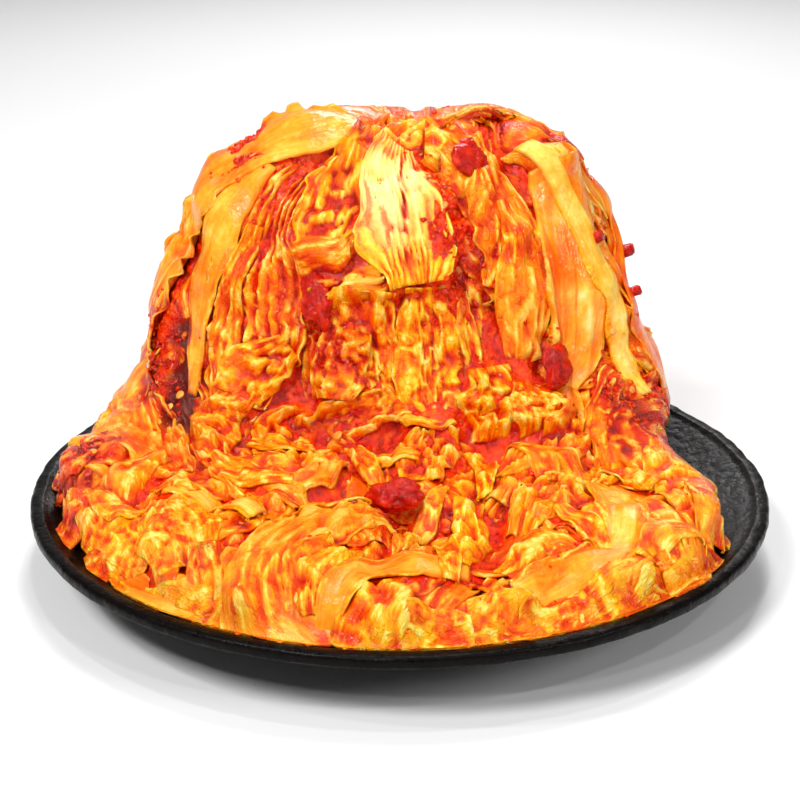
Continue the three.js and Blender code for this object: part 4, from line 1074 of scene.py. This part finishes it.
leaf('front', [(-130.7, 0.142), (-130.1, 0.177), (-125.5, 0.19)], [2.04, 3.4, 2.38], res=0.95, ribs=(4, 0.8, 5), folds=(6, 2.2, 2.5), crumple=0.8, curl=((0.42, 2.6), (0.42, 2.6)), dome=1.5, lift=1.2, seed=159, tint=0.45, sauce=0.4)
leaf('front', [(-126.7, 0.264), (-118.7, 0.293), (-111.1, 0.319)], [2.52, 4.2, 2.94], res=0.95, ribs=(4, 0.8, 5), folds=(6, 2.2, 2.5), crumple=0.8, curl=((0.42, 2.6), (0.42, 2.6)), dome=1.5, lift=1.2, seed=160, tint=0.4, sauce=0.3)
leaf('front', [(-105.6, 0.221), (-101.9, 0.274), (-96.2, 0.306)], [2.52, 4.2, 2.94], res=0.95, ribs=(4, 0.8, 5), folds=(6, 2.2, 2.5), crumple=0.8, curl=((0.42, 2.6), (0.42, 2.6)), dome=1.5, lift=1.2, seed=161, tint=0.3, sauce=0.1)
leaf('front', [(-113.1, 0.082), (-109.9, 0.032), (-111.2, -0.008), (-115.6, -0.02)], [2.28, 3.8, 3.8, 2.28], res=0.95, ribs=(4, 0.8, 5), folds=(6, 2.2, 2.5), crumple=0.8, curl=((0.42, 2.6), (0.42, 2.6)), dome=1.5, lift=1.2, seed=162, tint=0.5, sauce=0.2)
leaf('front', [(-64.9, 0.199), (-63.4, 0.15), (-65.0, 0.09)], [2.4, 4, 2.8], res=0.95, ribs=(4, 0.8, 5), folds=(6, 2.2, 2.5), crumple=0.8, curl=((0.42, 2.6), (0.42, 2.6)), dome=1.5, lift=1.2, seed=163, tint=0.35, sauce=0.2)
leaf('front', [(-62.1, 0.049), (-56.7, 0.061), (-52.5, 0.03)], [2.64, 4.4, 3.08], res=0.95, ribs=(4, 0.8, 5), folds=(6, 2.2, 2.5), crumple=0.8, curl=((0.42, 2.6), (0.42, 2.6)), dome=1.5, lift=1.2, seed=164, tint=0.4, sauce=0.3)
leaf('front', [(-93.8, 0.008), (-90.0, -0.005), (-86.5, 0.013)], [2.4, 4, 2.8], res=0.95, ribs=(4, 0.8, 5), folds=(6, 2.2, 2.5), crumple=0.8, curl=((0.42, 2.6), (0.42, 2.6)), dome=1.5, lift=1.2, seed=165, tint=0.4, sauce=0.2)
leaf('front', [(-83.5, -0.017), (-80.3, -0.004), (-77.5, -0.019)], [2.52, 4.2, 2.94], res=0.95, ribs=(4, 0.8, 5), folds=(6, 2.2, 2.5), crumple=0.8, curl=((0.42, 2.6), (0.42, 2.6)), dome=1.5, lift=1.2, seed=166, tint=0.45, sauce=0.3)
leaf('front', [(-106.6, 0.019), (-104.6, -0.013), (-101.3, -0.02)], [2.28, 3.8, 2.6599999999999997], res=0.95, ribs=(4, 0.8, 5), folds=(6, 2.2, 2.5), crumple=0.8, curl=((0.42, 2.6), (0.42, 2.6)), dome=1.5, lift=1.2, seed=167, tint=0.6, sauce=0.4)
leaf('front', [(-43.2, 0.08), (-48.4, 0.044), (-52.7, -0.006)], [2.28, 3.8, 2.6599999999999997], res=0.95, ribs=(4, 0.8, 5), folds=(6, 2.2, 2.5), crumple=0.8, curl=((0.42, 2.6), (0.42, 2.6)), dome=1.5, lift=1.2, seed=168, tint=0.45, sauce=0.3)
leaf('front', [(-85.7, 0.203), (-83.9, 0.155), (-84.4, 0.086)], [2.16, 3.6, 2.52], res=0.95, ribs=(4, 0.8, 5), folds=(6, 2.2, 2.5), crumple=0.8, curl=((0.42, 2.6), (0.42, 2.6)), dome=1.5, lift=1.2, seed=169, tint=0.25, sauce=0.1)
leaf('front', [(-130.6, 0.355), (-121.6, 0.389), (-115.2, 0.436)], [2.4, 4, 2.8], res=0.95, ribs=(4, 0.8, 5), folds=(6, 2.2, 2.5), crumple=0.8, curl=((0.42, 2.6), (0.42, 2.6)), dome=1.5, lift=1.2, seed=170, tint=0.35, sauce=0.3)
leaf('front', [(-103.0, 0.42), (-94.6, 0.443), (-84.9, 0.438)], [2.4, 4, 2.8], res=0.95, ribs=(4, 0.8, 5), folds=(6, 2.2, 2.5), crumple=0.8, curl=((0.42, 2.6), (0.42, 2.6)), dome=1.5, lift=1.2, seed=171, tint=0.4, sauce=0.4)
leaf('front', [(-70.3, 0.023), (-66.6, 0.019), (-62.1, 0.016)], [2.4, 4, 2.8], res=0.95, ribs=(4, 0.8, 5), folds=(6, 2.2, 2.5), crumple=0.8, curl=((0.42, 2.6), (0.42, 2.6)), dome=1.5, lift=1.2, seed=172, tint=0.4, sauce=0.2)
leaf('front', [(-138.3, 0.069), (-130.9, 0.068), (-126.1, 0.091)], [2.16, 3.6, 2.52], res=0.95, ribs=(4, 0.8, 5), folds=(6, 2.2, 2.5), crumple=0.8, curl=((0.42, 2.6), (0.42, 2.6)), dome=1.5, lift=1.2, seed=173, tint=0.4, sauce=0.3)
leaf('front', [(-88.8, 0.515), (-80.9, 0.494), (-73.0, 0.488)], [2.16, 3.6, 2.52], res=0.95, ribs=(4, 0.8, 5), folds=(6, 2.2, 2.5), crumple=0.8, curl=((0.42, 2.6), (0.42, 2.6)), dome=1.5, lift=1.2, seed=174, tint=0.4, sauce=0.3)
leaf('front', [(-110.9, 0.454), (-102.6, 0.452), (-95.2, 0.393)], [2.28, 3.8, 2.6599999999999997], res=0.95, ribs=(4, 0.8, 5), folds=(6, 2.2, 2.5), crumple=0.8, curl=((0.42, 2.6), (0.42, 2.6)), dome=1.5, lift=1.2, seed=175, tint=0.5, sauce=0.4)
leaf('front', [(-70.3, 0.437), (-69.5, 0.386), (-73.6, 0.328)], [2.16, 3.6, 2.52], res=0.95, ribs=(4, 0.8, 5), folds=(6, 2.2, 2.5), crumple=0.8, curl=((0.42, 2.6), (0.42, 2.6)), dome=1.5, lift=1.2, seed=176, tint=0.3, sauce=0.2)
leaf('front', [(-48.2, 0.242), (-45.3, 0.19), (-46.4, 0.137)], [2.28, 3.8, 2.6599999999999997], res=0.95, ribs=(4, 0.8, 5), folds=(6, 2.2, 2.5), crumple=0.8, curl=((0.42, 2.6), (0.42, 2.6)), dome=1.5, lift=1.2, seed=177, tint=0.4, sauce=0.3)

# ------------------------------------------------------------------ sauce that fills the hollows between the leaves
def build_sauce():
    na, nt = 400, 216
    a = np.linspace(0, 2 * np.pi, na, endpoint=False)
    t = np.r_[np.linspace(0.026, 0.08, 16)[:-1], np.linspace(0.08, 0.985, nt - 15)]
    A, T = np.meshgrid(a, t, indexing="ij")
    p = np.stack([(1 - T) * np.cos(A), (1 - T) * np.sin(A)], -1)
    wide = at(blur2(H, 3.2, 3.2), p)
    near = at(blur2(H, 1.2, 1.2), p)
    B, N = at(S, p), at(SN, p)
    P0 = B + N * wide[..., None]
    q, n3, m3 = sauce_at(P0)
    low = smooth(0.34, 0.12, T)  # more has run down into the apron
    level = 0.7 * wide + 0.3 * near - 2.9 + 3.6 * np.clip(q, 0, 1.1) + 1.6 * n3 + 0.3 * low
    level = np.minimum(level, at(reach, p) + 2.5)
    level = level - 3.0 * smooth(0.1, 0.03, T)
    level = np.maximum(level, 0.9 * at(blur2(H, 9, 9), p) - 4.0)
    level = np.maximum(level, 0.4)
    # minced pepper, garlic and onion in it
    su, sw = A * 60 * (0.4 + 0.6 * (1 - T)), T * 190
    f1, f2 = worley(su / 2.6, sw / 2.6, 501)
    g1, g2 = worley(su / 1.5 + 3.3, sw / 1.5, 502)
    m1 = np.sqrt(np.maximum(0, 1 - (f1 / 0.62) ** 2))
    m2 = np.sqrt(np.maximum(0, 1 - (g1 / 0.62) ** 2))
    grains = 0.75 * m1 * smooth(-0.25, 0.35, m3) + 0.4 * m2
    P = B + N * (level + grains + 0.35 * m3)[..., None]
    P[..., 2] = np.maximum(P[..., 2], dish_inside(np.hypot(P[..., 0], P[..., 1])) + 0.6)
    foot = P[:, :1].copy()
    foot[..., 2] = dish_inside(np.hypot(foot[..., 0], foot[..., 1])) + 0.3
    P = np.concatenate([foot, P], 1)
    P = np.concatenate([P, P[:1]], 0)
    pad = lambda v: np.concatenate([np.concatenate([v[:, :1], v], 1), np.concatenate([v[:1, :1], v[:1]], 1)], 0)
    # painted shade: how deep each hollow is goes to the sauce material, which paints it near-black
    val = np.stack([pad(grains), pad(hollow_shade_at(P0)), pad(np.clip(q + 0.4 * n3, 0, 1)), pad(np.clip(0.5 + 0.5 * m3, 0, 1)), pad(su), pad(sw), pad(0 * su)], -1)
    return build_group("kimchi_sauce", [(P, val, pad(N), (900.0, 220.0))], mat_sauce)


# ------------------------------------------------------------------ small things lying on the leaves
def surface_tree():
    """All that has been laid so far, and how red with sauce each face is."""
    verts, faces, wet, n = [], [], [], 0
    for o in bpy.data.objects:
        if o.type == "MESH" and o.name.startswith("kimchi_") and o.name != "kimchi_heap":
            me = o.data
            co = np.empty(len(me.vertices) * 3)
            me.vertices.foreach_get("co", co)
            fi = np.empty(len(me.polygons) * 4, dtype=np.int32)
            me.loops.foreach_get("vertex_index", fi)
            c = np.empty(len(me.vertices) * 4, dtype=np.float32)
            me.attributes["kim"].data.foreach_get("color", c)
            w = c.reshape(-1, 4)[:, 2][fi.reshape(-1, 4)[:, 0]]
            wet.append(np.ones_like(w) if o.name == "kimchi_sauce" else w * 0.8)
            verts.append(co.reshape(-1, 3) * 1000)
            faces.append(fi.reshape(-1, 4) + n)
            n += len(me.vertices)
    return BVHTree.FromPolygons(np.concatenate(verts).tolist(), np.concatenate(faces).tolist()), np.concatenate(wet)


def sphere(sub):
    import bmesh
    bm = bmesh.new()
    bmesh.ops.create_icosphere(bm, subdivisions=sub, radius=1.0)
    v = np.array([tuple(x.co) for x in bm.verts])
    f = np.array([[x.index for x in q.verts] for q in bm.faces])
    bm.free()
    return v, f


def scatter(name, spots, make, material):
    """Joins one small mesh per spot into a piece. make(k, rnd) gives its vertices in its own frame, z outwards."""
    vs, fs, cs, n = [], [], [], 0
    rnd = np.random.default_rng(len(spots) + 5)
    for k, (pos, nrm) in enumerate(spots):
        v, f, c = make(k, rnd)
        z = nrm / np.linalg.norm(nrm)
        x = np.cross(z, [0.3, 0.2, 1.0])
        x /= np.linalg.norm(x)
        y = np.cross(z, x)
        th = rnd.uniform(0, 2 * math.pi)
        x, y = x * math.cos(th) + y * math.sin(th), y * math.cos(th) - x * math.sin(th)
        vs.append(pos + v @ np.stack([x, y, z]))
        fs.append(f + n)
        cs.append(np.repeat(np.array(c, float)[None], len(v), 0))
        n += len(v)
    v, f, c = np.concatenate(vs) / 1000, np.concatenate(fs), np.concatenate(cs)
    me = bpy.data.meshes.new(name)
    me.vertices.add(len(v))
    me.vertices.foreach_set("co", v.ravel())
    m = f.shape[1]
    me.loops.add(len(f) * m)
    me.loops.foreach_set("vertex_index", f.ravel().astype(np.int32))
    me.polygons.add(len(f))
    me.polygons.foreach_set("loop_start", np.arange(0, len(f) * m, m))
    me.polygons.foreach_set("loop_total", np.full(len(f), m))
    me.polygons.foreach_set("use_smooth", np.ones(len(f), bool))
    at_ = me.attributes.new("kim", "FLOAT_COLOR", "POINT")
    at_.data.foreach_set("color", c.astype(np.float32).ravel())
    me.update()
    me.validate()
    ob = bpy.data.objects.new(name, me)
    bpy.context.scene.collection.objects.link(ob)
    me.materials.append(material)
    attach(ob, "root")
    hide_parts("kimchi_heap")
    return ob


def on_surface(tree, p):
    """Where the outermost surface lies over a place of the disc, and its normal."""
    b, n = Vector(at(S, p)), Vector(at(SN, p))
    hit = tree.ray_cast(b + n * 34, -n)
    if hit[0] is None:
        return None
    nn = hit[1]
    if nn.dot(n) < 0:
        nn = -nn
    w = (nn * 0.6 + n * 0.4).normalized()
    return np.array(hit[0]), np.array(w), wet[hit[2]]


build_core()
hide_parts("kimchi_heap")
pool_sauce_and_paint_shade()
for g, grids in LEAVES.items():
    parts, part, count = [], [], 0
    for gr in grids:  # no piece over 190,000 triangles
        c = gr[0].shape[0] * gr[0].shape[1] * 2
        if count + c > 190000:
            parts.append(part)
            part, count = [], 0
        part.append(gr)
        count += c
    parts.append(part)
    for i, part in enumerate(parts):
        ob = build_group("kimchi_leaves_%s_%d" % (g, i + 1), part, mat_leaf)
        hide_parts("kimchi_heap")
ob = build_sauce()
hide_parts("kimchi_heap")

tree, wet = surface_tree()
rnd = np.random.default_rng(77)
# places: most in the patches of sauce, the rest anywhere
grain_spots, flake_spots, seed_spots, bit_spots = [], [], [], []
ZA = np.array([disc(a_, t_) for a_, t_, _, _ in SAUCE])
weights = ZR * ZR * ZS
weights = weights / weights.sum()
sa_len = np.linalg.norm(at(SA, ZA), axis=-1)


def pick_spot(spread=1.0, anywhere=0.35):
    if rnd.random() < anywhere:
        while True:
            q_ = rnd.uniform(-0.98, 0.98, 2)
            if np.hypot(*q_) < 0.98 and rnd.random() < 0.4 + 0.6 * (np.hypot(*q_)):
                return q_
    k = rnd.choice(len(SAUCE), p=weights)
    d_ = rnd.normal(0, 0.55, 2) * ZR[k] * spread / np.maximum(sa_len[k], 60)
    q_ = ZA[k] + d_
    r_ = np.hypot(*q_)
    return q_ if r_ < 0.985 else q_ / r_ * 0.985


for lst, count, spread, anyw in ((grain_spots, 1700, 1.1, 0.2), (flake_spots, 60, 1.3, 0.25), (seed_spots, 26, 1.6, 0.4), (bit_spots, 45, 1.3, 0.25)):
    while len(lst) < count:
        got = on_surface(tree, pick_spot(spread, anyw))
        if got and rnd.random() < max(got[2], 0.0) ** 2 + (0.25 if lst is seed_spots else 0.03):
            lst.append(got[:2])

ball1, ball1f = sphere(1)
ball2, ball2f = sphere(2)


def grain(k, r):
    """A drop of thick sauce with something minced in it."""
    s_ = r.uniform(0.35, 0.85) * (1.0 if r.random() < 0.85 else 1.6)
    v = ball1 * (1 + 0.25 * r.normal(0, 1, (len(ball1), 1)).clip(-1, 1))
    v = v * np.array([r.uniform(0.8, 1.5), 1.0, r.uniform(0.55, 0.8)]) * s_
    return v, ball1f, (r.uniform(0.2, 1), 0, r.uniform(0.3, 1.0), r.uniform(0, 1))


def flake(k, r):
    """A flake of dried red pepper, a little curled."""
    s_ = r.uniform(0.7, 1.9)
    v = ball1.copy()
    ang = np.arctan2(v[:, 1], v[:, 0])
    rad = 1 + 0.3 * np.sin(3 * ang + r.uniform(0, 6)) + 0.15 * np.sin(5 * ang + r.uniform(0, 6))
    v[:, :2] *= rad[:, None]
    v = v * np.array([r.uniform(0.9, 1.5) * s_, s_ * 0.8, 0.28])
    v[:, 2] += 0.18 * (v[:, 0] ** 2) / s_ + 0.15
    return v, ball1f, (r.uniform(0, 1), 0, 1, r.uniform(0, 1))


def seed_(k, r):
    """A pepper seed: a flat round disc with a thicker rim."""
    s_ = r.uniform(1.25, 1.75)
    v = ball2.copy()
    rr = np.hypot(v[:, 0], v[:, 1])
    v[:, 2] *= 0.24 * (1 + 0.7 * rr**3)
    v[:, 0] *= 1.12
    v[:, 1] += 0.12 * v[:, 0] ** 2
    return v * s_ + np.array([0, 0, 0.12]), ball2f, (r.uniform(0.2, 1), 1, 0.2, r.uniform(0, 0.6))


def bit(k, r):
    """A chip of garlic, onion or radish."""
    s_ = r.uniform(0.5, 1.1)
    v = ball1.copy()
    v = np.sign(v) * np.abs(v) ** 0.6
    v *= np.array([r.uniform(0.8, 1.9), r.uniform(0.5, 0.9), r.uniform(0.35, 0.6)]) * s_
    v += 0.1 * r.normal(0, 1, v.shape).clip(-1, 1)
    return v, ball1f, (r.uniform(0, 1), 1, 0.5, r.uniform(0.5, 1.2))


# chopped pieces of red pepper that stand out from the side


def chopped(k, r):
    import bmesh
    bm = bmesh.new()
    bmesh.ops.create_cube(bm, size=2.0)
    bmesh.ops.bevel(bm, geom=bm.edges[:], offset=0.25, segments=2, affect="EDGES")
    bmesh.ops.triangulate(bm, faces=bm.faces[:])
    bm.verts.ensure_lookup_table()
    v = np.array([tuple(x_.co) for x_ in bm.verts])
    f = np.array([[x_.index for x_ in q_.verts] for q_ in bm.faces])
    bm.free()
    v = v * np.array([2.2 * r.uniform(0.85, 1.15), 1.7, 2.4 * r.uniform(0.85, 1.1)])
    v[:, 0] += 0.35 * np.sin(v[:, 2] * 1.1 + r.uniform(0, 3))
    v[:, 1] += 0.12 * v[:, 0] ** 2
    v[:, 2] += 1.1 if k < 3 else 0.1
    return v, f, (0.5, 0, 1, r.uniform(0.3, 1.0))


stuck = []
for a_, t_ in ((4, 0.37), (-4, 0.305), (-13.8, 0.475), (120, 0.5), (62, 0.62), (168, 0.42), (150, 0.7), (90, 0.33)):
    got = on_surface(tree, disc(a_, t_))
    if got:
        stuck.append(got[:2])
scatter("kimchi_chopped_pepper", stuck, chopped, mat_pepper)
scatter("kimchi_minced_pepper", grain_spots, grain, mat_sauce)
scatter("kimchi_pepper_flakes", flake_spots, flake, mat_flake)
scatter("kimchi_pepper_seeds", seed_spots, seed_, mat_seed)
scatter("kimchi_garlic_chips", bit_spots, bit, mat_seed)

# the big pieces of red pepper: the same outline, wrinkled and wet
for name, ob in list(nodes.items()):
    if name.startswith("red_pepper_piece"):
        import bmesh
        bm = bmesh.new()
        bm.from_mesh(ob.data)
        bmesh.ops.triangulate(bm, faces=bm.faces[:])
        bmesh.ops.remove_doubles(bm, verts=bm.verts[:], dist=0.00005)
        for _ in range(2):
            bmesh.ops.subdivide_edges(bm, edges=bm.edges[:], cuts=1, use_grid_fill=True)
            bmesh.ops.smooth_vert(bm, verts=bm.verts[:], factor=0.5, use_axis_x=True, use_axis_y=True, use_axis_z=True)
        bm.normal_update()
        co = np.array([tuple(v_.co) for v_ in bm.verts]) * 1000
        no = np.array([tuple(v_.normal) for v_ in bm.verts])
        h_ = 2.2 * fbm(co[:, 0] / 5.5, co[:, 1] / 5.5, co[:, 2] / 5.5, seed=61, octaves=3) - 0.9 * np.exp(-(fbm(co[:, 0] / 4, co[:, 1] / 4, co[:, 2] / 4, seed=63, octaves=2) / 0.1) ** 2) + 0.6 * np.abs(fbm(co[:, 0] / 1.8, co[:, 1] / 1.8, co[:, 2] / 1.8, seed=62, octaves=2))
        mid_ = co.mean(0)
        out_ = mid_ - np.array([0, AXIS_Y, mid_[2] * 0.8])
        out_ /= np.linalg.norm(out_)
        co = co + no * (h_ - 0.4)[:, None]
        up_ = ((co - mid_) @ out_)[:, None] * out_
        sink = 5.8 if mid_[2] > 0.86 * heap_hi[2] else 3.4  # the one at the top must not stand up behind the ridge
        co = co - 0.25 * up_ - sink * out_
        for v_, c_ in zip(bm.verts, co / 1000):
            v_.co = c_
        me = bpy.data.meshes.new(name + "_wet")
        bm.to_mesh(me)
        bm.free()
        for p_ in me.polygons:
            p_.use_smooth = True
        pc = bpy.data.objects.new(name + "_wet", me)
        bpy.context.scene.collection.objects.link(pc)
        me.materials.append(mat_pepper)
        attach(pc, "root")
        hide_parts(name)


# the dish again, with the unevenness of hand-finished stoneware
def build_dish():
    na = 240
    rt = R
    under = RIM - 4.6
    prof_ = [(0.01, 0.0), (30, 0.0), (58.0, 0.0), (59.4, 0.15)]
    for i in range(25):
        s_ = i / 24
        prof_.append((60 + (rt - 0.9 - 60) * s_, 0.6 + (under - 0.6) * s_**1.22))
    prof_ += [(rt - 0.25, under + 0.45), (rt, under + 1.2), (rt, RIM - 1.9), (rt - 0.15, RIM - 0.9), (rt - 0.7, RIM - 0.25), (rt - 1.5, RIM), (rt - 2.6, RIM), (rt - 3.8, RIM), (rt - 4.6, RIM - 0.3)]
    for i in range(40, -1, -1):
        r_ = FLOOR_R + (LIP_R - FLOOR_R) * i / 40
        prof_.append((r_, float(dish_inside(r_))))
    for r_ in (50, 40, 28, 14, 0.01):
        prof_.append((r_, FLOOR_Z))
    pr = np.array(prof_)
    a_ = np.linspace(0, 2 * np.pi, na + 1)
    A_, I_ = np.meshgrid(a_, np.arange(len(pr)), indexing="ij")
    rr, zz = pr[I_, 0], pr[I_, 1]
    X_, Y_ = rr * np.cos(A_), rr * np.sin(A_)
    lip = smooth(rt - 9, rt - 2, rr)
    top_ = smooth(under, RIM, zz)
    lump = fbm(X_ / 7, Y_ / 7, zz / 7, seed=71, octaves=3)
    fine = fbm(X_ / 2.6, Y_ / 2.6, zz / 2.6, seed=72, octaves=2)
    zz = zz - lip * top_ * (0.35 + 0.45 * lump + 0.2 * fine) + (1 - lip) * 0.05 * lump * smooth(2.0, 4.0, zz)
    cut = lip * np.maximum(0, 0.45 * lump + 0.2 * fine + 0.15)
    rr = rr - cut
    P_ = np.stack([rr * np.cos(A_), rr * np.sin(A_), np.maximum(zz, 0)], -1)
    nn = np.stack([np.cos(A_), np.sin(A_), 0 * A_], -1)
    half_ = len(pr) // 2
    nn[:, half_:] = (0, 0, 1)
    val_ = np.stack([0 * rr, 0 * rr, 0 * rr, top_ * lip, X_, Y_, zz], -1)
    i_, j_ = P_.shape[0] // 2, P_.shape[1] // 2
    nn[i_, j_] = np.array([0, 0, 1.0])
    return build_group("dish_stoneware", [(P_, val_, nn, (800.0, 260.0))], mat_dish)


build_dish()
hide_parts("dish")


# ------------------------------------------------------------------ the CAD dish's own finish
for name in ("dish",):
    ob = nodes[name]
    ob.data.materials.clear()
    ob.data.materials.append(mat_dish)

# ------------------------------------------------------------------ floor, lights and camera
def plain(name, colour, rough):
    m = Nodes(name)
    n = m.noise(3, 2)
    return m.finish(Base__Color=m.ramp(n, (0.0, colour), (1.0, tuple(min(1, c * 1.01) for c in colour[:3]) + (1,))), Roughness=rough)


def build_floor():
    s = 3.0
    n = 24
    verts, faces = [], []
    # a floor that turns up into a wall far behind
    prof_ = [(-s, 0)] + [(x, 0) for x in np.linspace(-1.5, 1.2, 8)]
    for a in np.linspace(0, math.pi / 2, 10)[1:]:
        prof_.append((1.2 + 0.8 * math.sin(a), 0.8 * (1 - math.cos(a))))
    prof_.append((2.0, 3.0))
    for y, z in prof_:
        for x in (-s, s):
            verts.append((x, y, z - 0.0002))
    for i in range(len(prof_) - 1):
        faces.append((2 * i, 2 * i + 1, 2 * i + 3, 2 * i + 2))
    me = bpy.data.meshes.new("floor")
    me.from_pydata(verts, [], faces)
    for p in me.polygons:
        p.use_smooth = True
    ob = bpy.data.objects.new("floor", me)
    bpy.context.scene.collection.objects.link(ob)
    me.materials.append(plain("pale_floor", (0.88, 0.88, 0.88, 1), 0.7))


build_floor()


def area(name, loc, target, size, energy, colour=(1, 1, 1)):
    li = bpy.data.lights.new(name, "AREA")
    li.shape = "DISK"
    li.size = size
    li.energy = energy
    li.color = colour
    ob = bpy.data.objects.new(name, li)
    ob.location = loc
    d = Vector(target) - Vector(loc)
    ob.rotation_euler = d.to_track_quat("-Z", "Y").to_euler()
    bpy.context.scene.collection.objects.link(ob)


area("key", (-0.55, -0.75, 1.05), (0, 0.02, 0.06), 0.36, 12.1)
area("fill", (0.85, -0.6, 0.6), (0, 0, 0.06), 0.35, 4)
area("top", (0.1, 0.25, 1.3), (0, 0.03, 0.05), 0.35, 6)
for i_, at_ in enumerate(((-0.28, -0.95, 0.85), (0.42, -0.8, 0.95), (-0.75, -0.3, 0.9), (0.0, -0.25, 1.25))):
    area("glint_%d" % (i_ + 1), at_, (0, 0, 0.07), 0.06, 1.5)
area("back", (0.1, 1.1, 0.7), (0, 0.05, 0.08), 0.4, 4)

world = bpy.data.worlds.new("studio")
bpy.context.scene.world = world
world.use_nodes = True
bg = world.node_tree.nodes["Background"]
bg.inputs[0].default_value = (1, 1, 1, 1)
bg.inputs[1].default_value = 0.16

cam_data = bpy.data.cameras.new("camera")
cam_data.lens = 85
cam_data.sensor_width = 36
cam = bpy.data.objects.new("camera", cam_data)
pitch, dist, aim_z = math.radians(21.349), 0.64751, 0.05534
cam.location = (0, -math.cos(pitch) * dist, aim_z + math.sin(pitch) * dist)
cam.rotation_euler = (math.pi / 2 - pitch, 0, 0)
cam_data.clip_start = 0.01
bpy.context.scene.collection.objects.link(cam)
sc = bpy.context.scene
sc.camera = cam
sc.view_settings.view_transform = "Standard"
sc.view_settings.look = "None"
sc.view_settings.exposure = 0.0

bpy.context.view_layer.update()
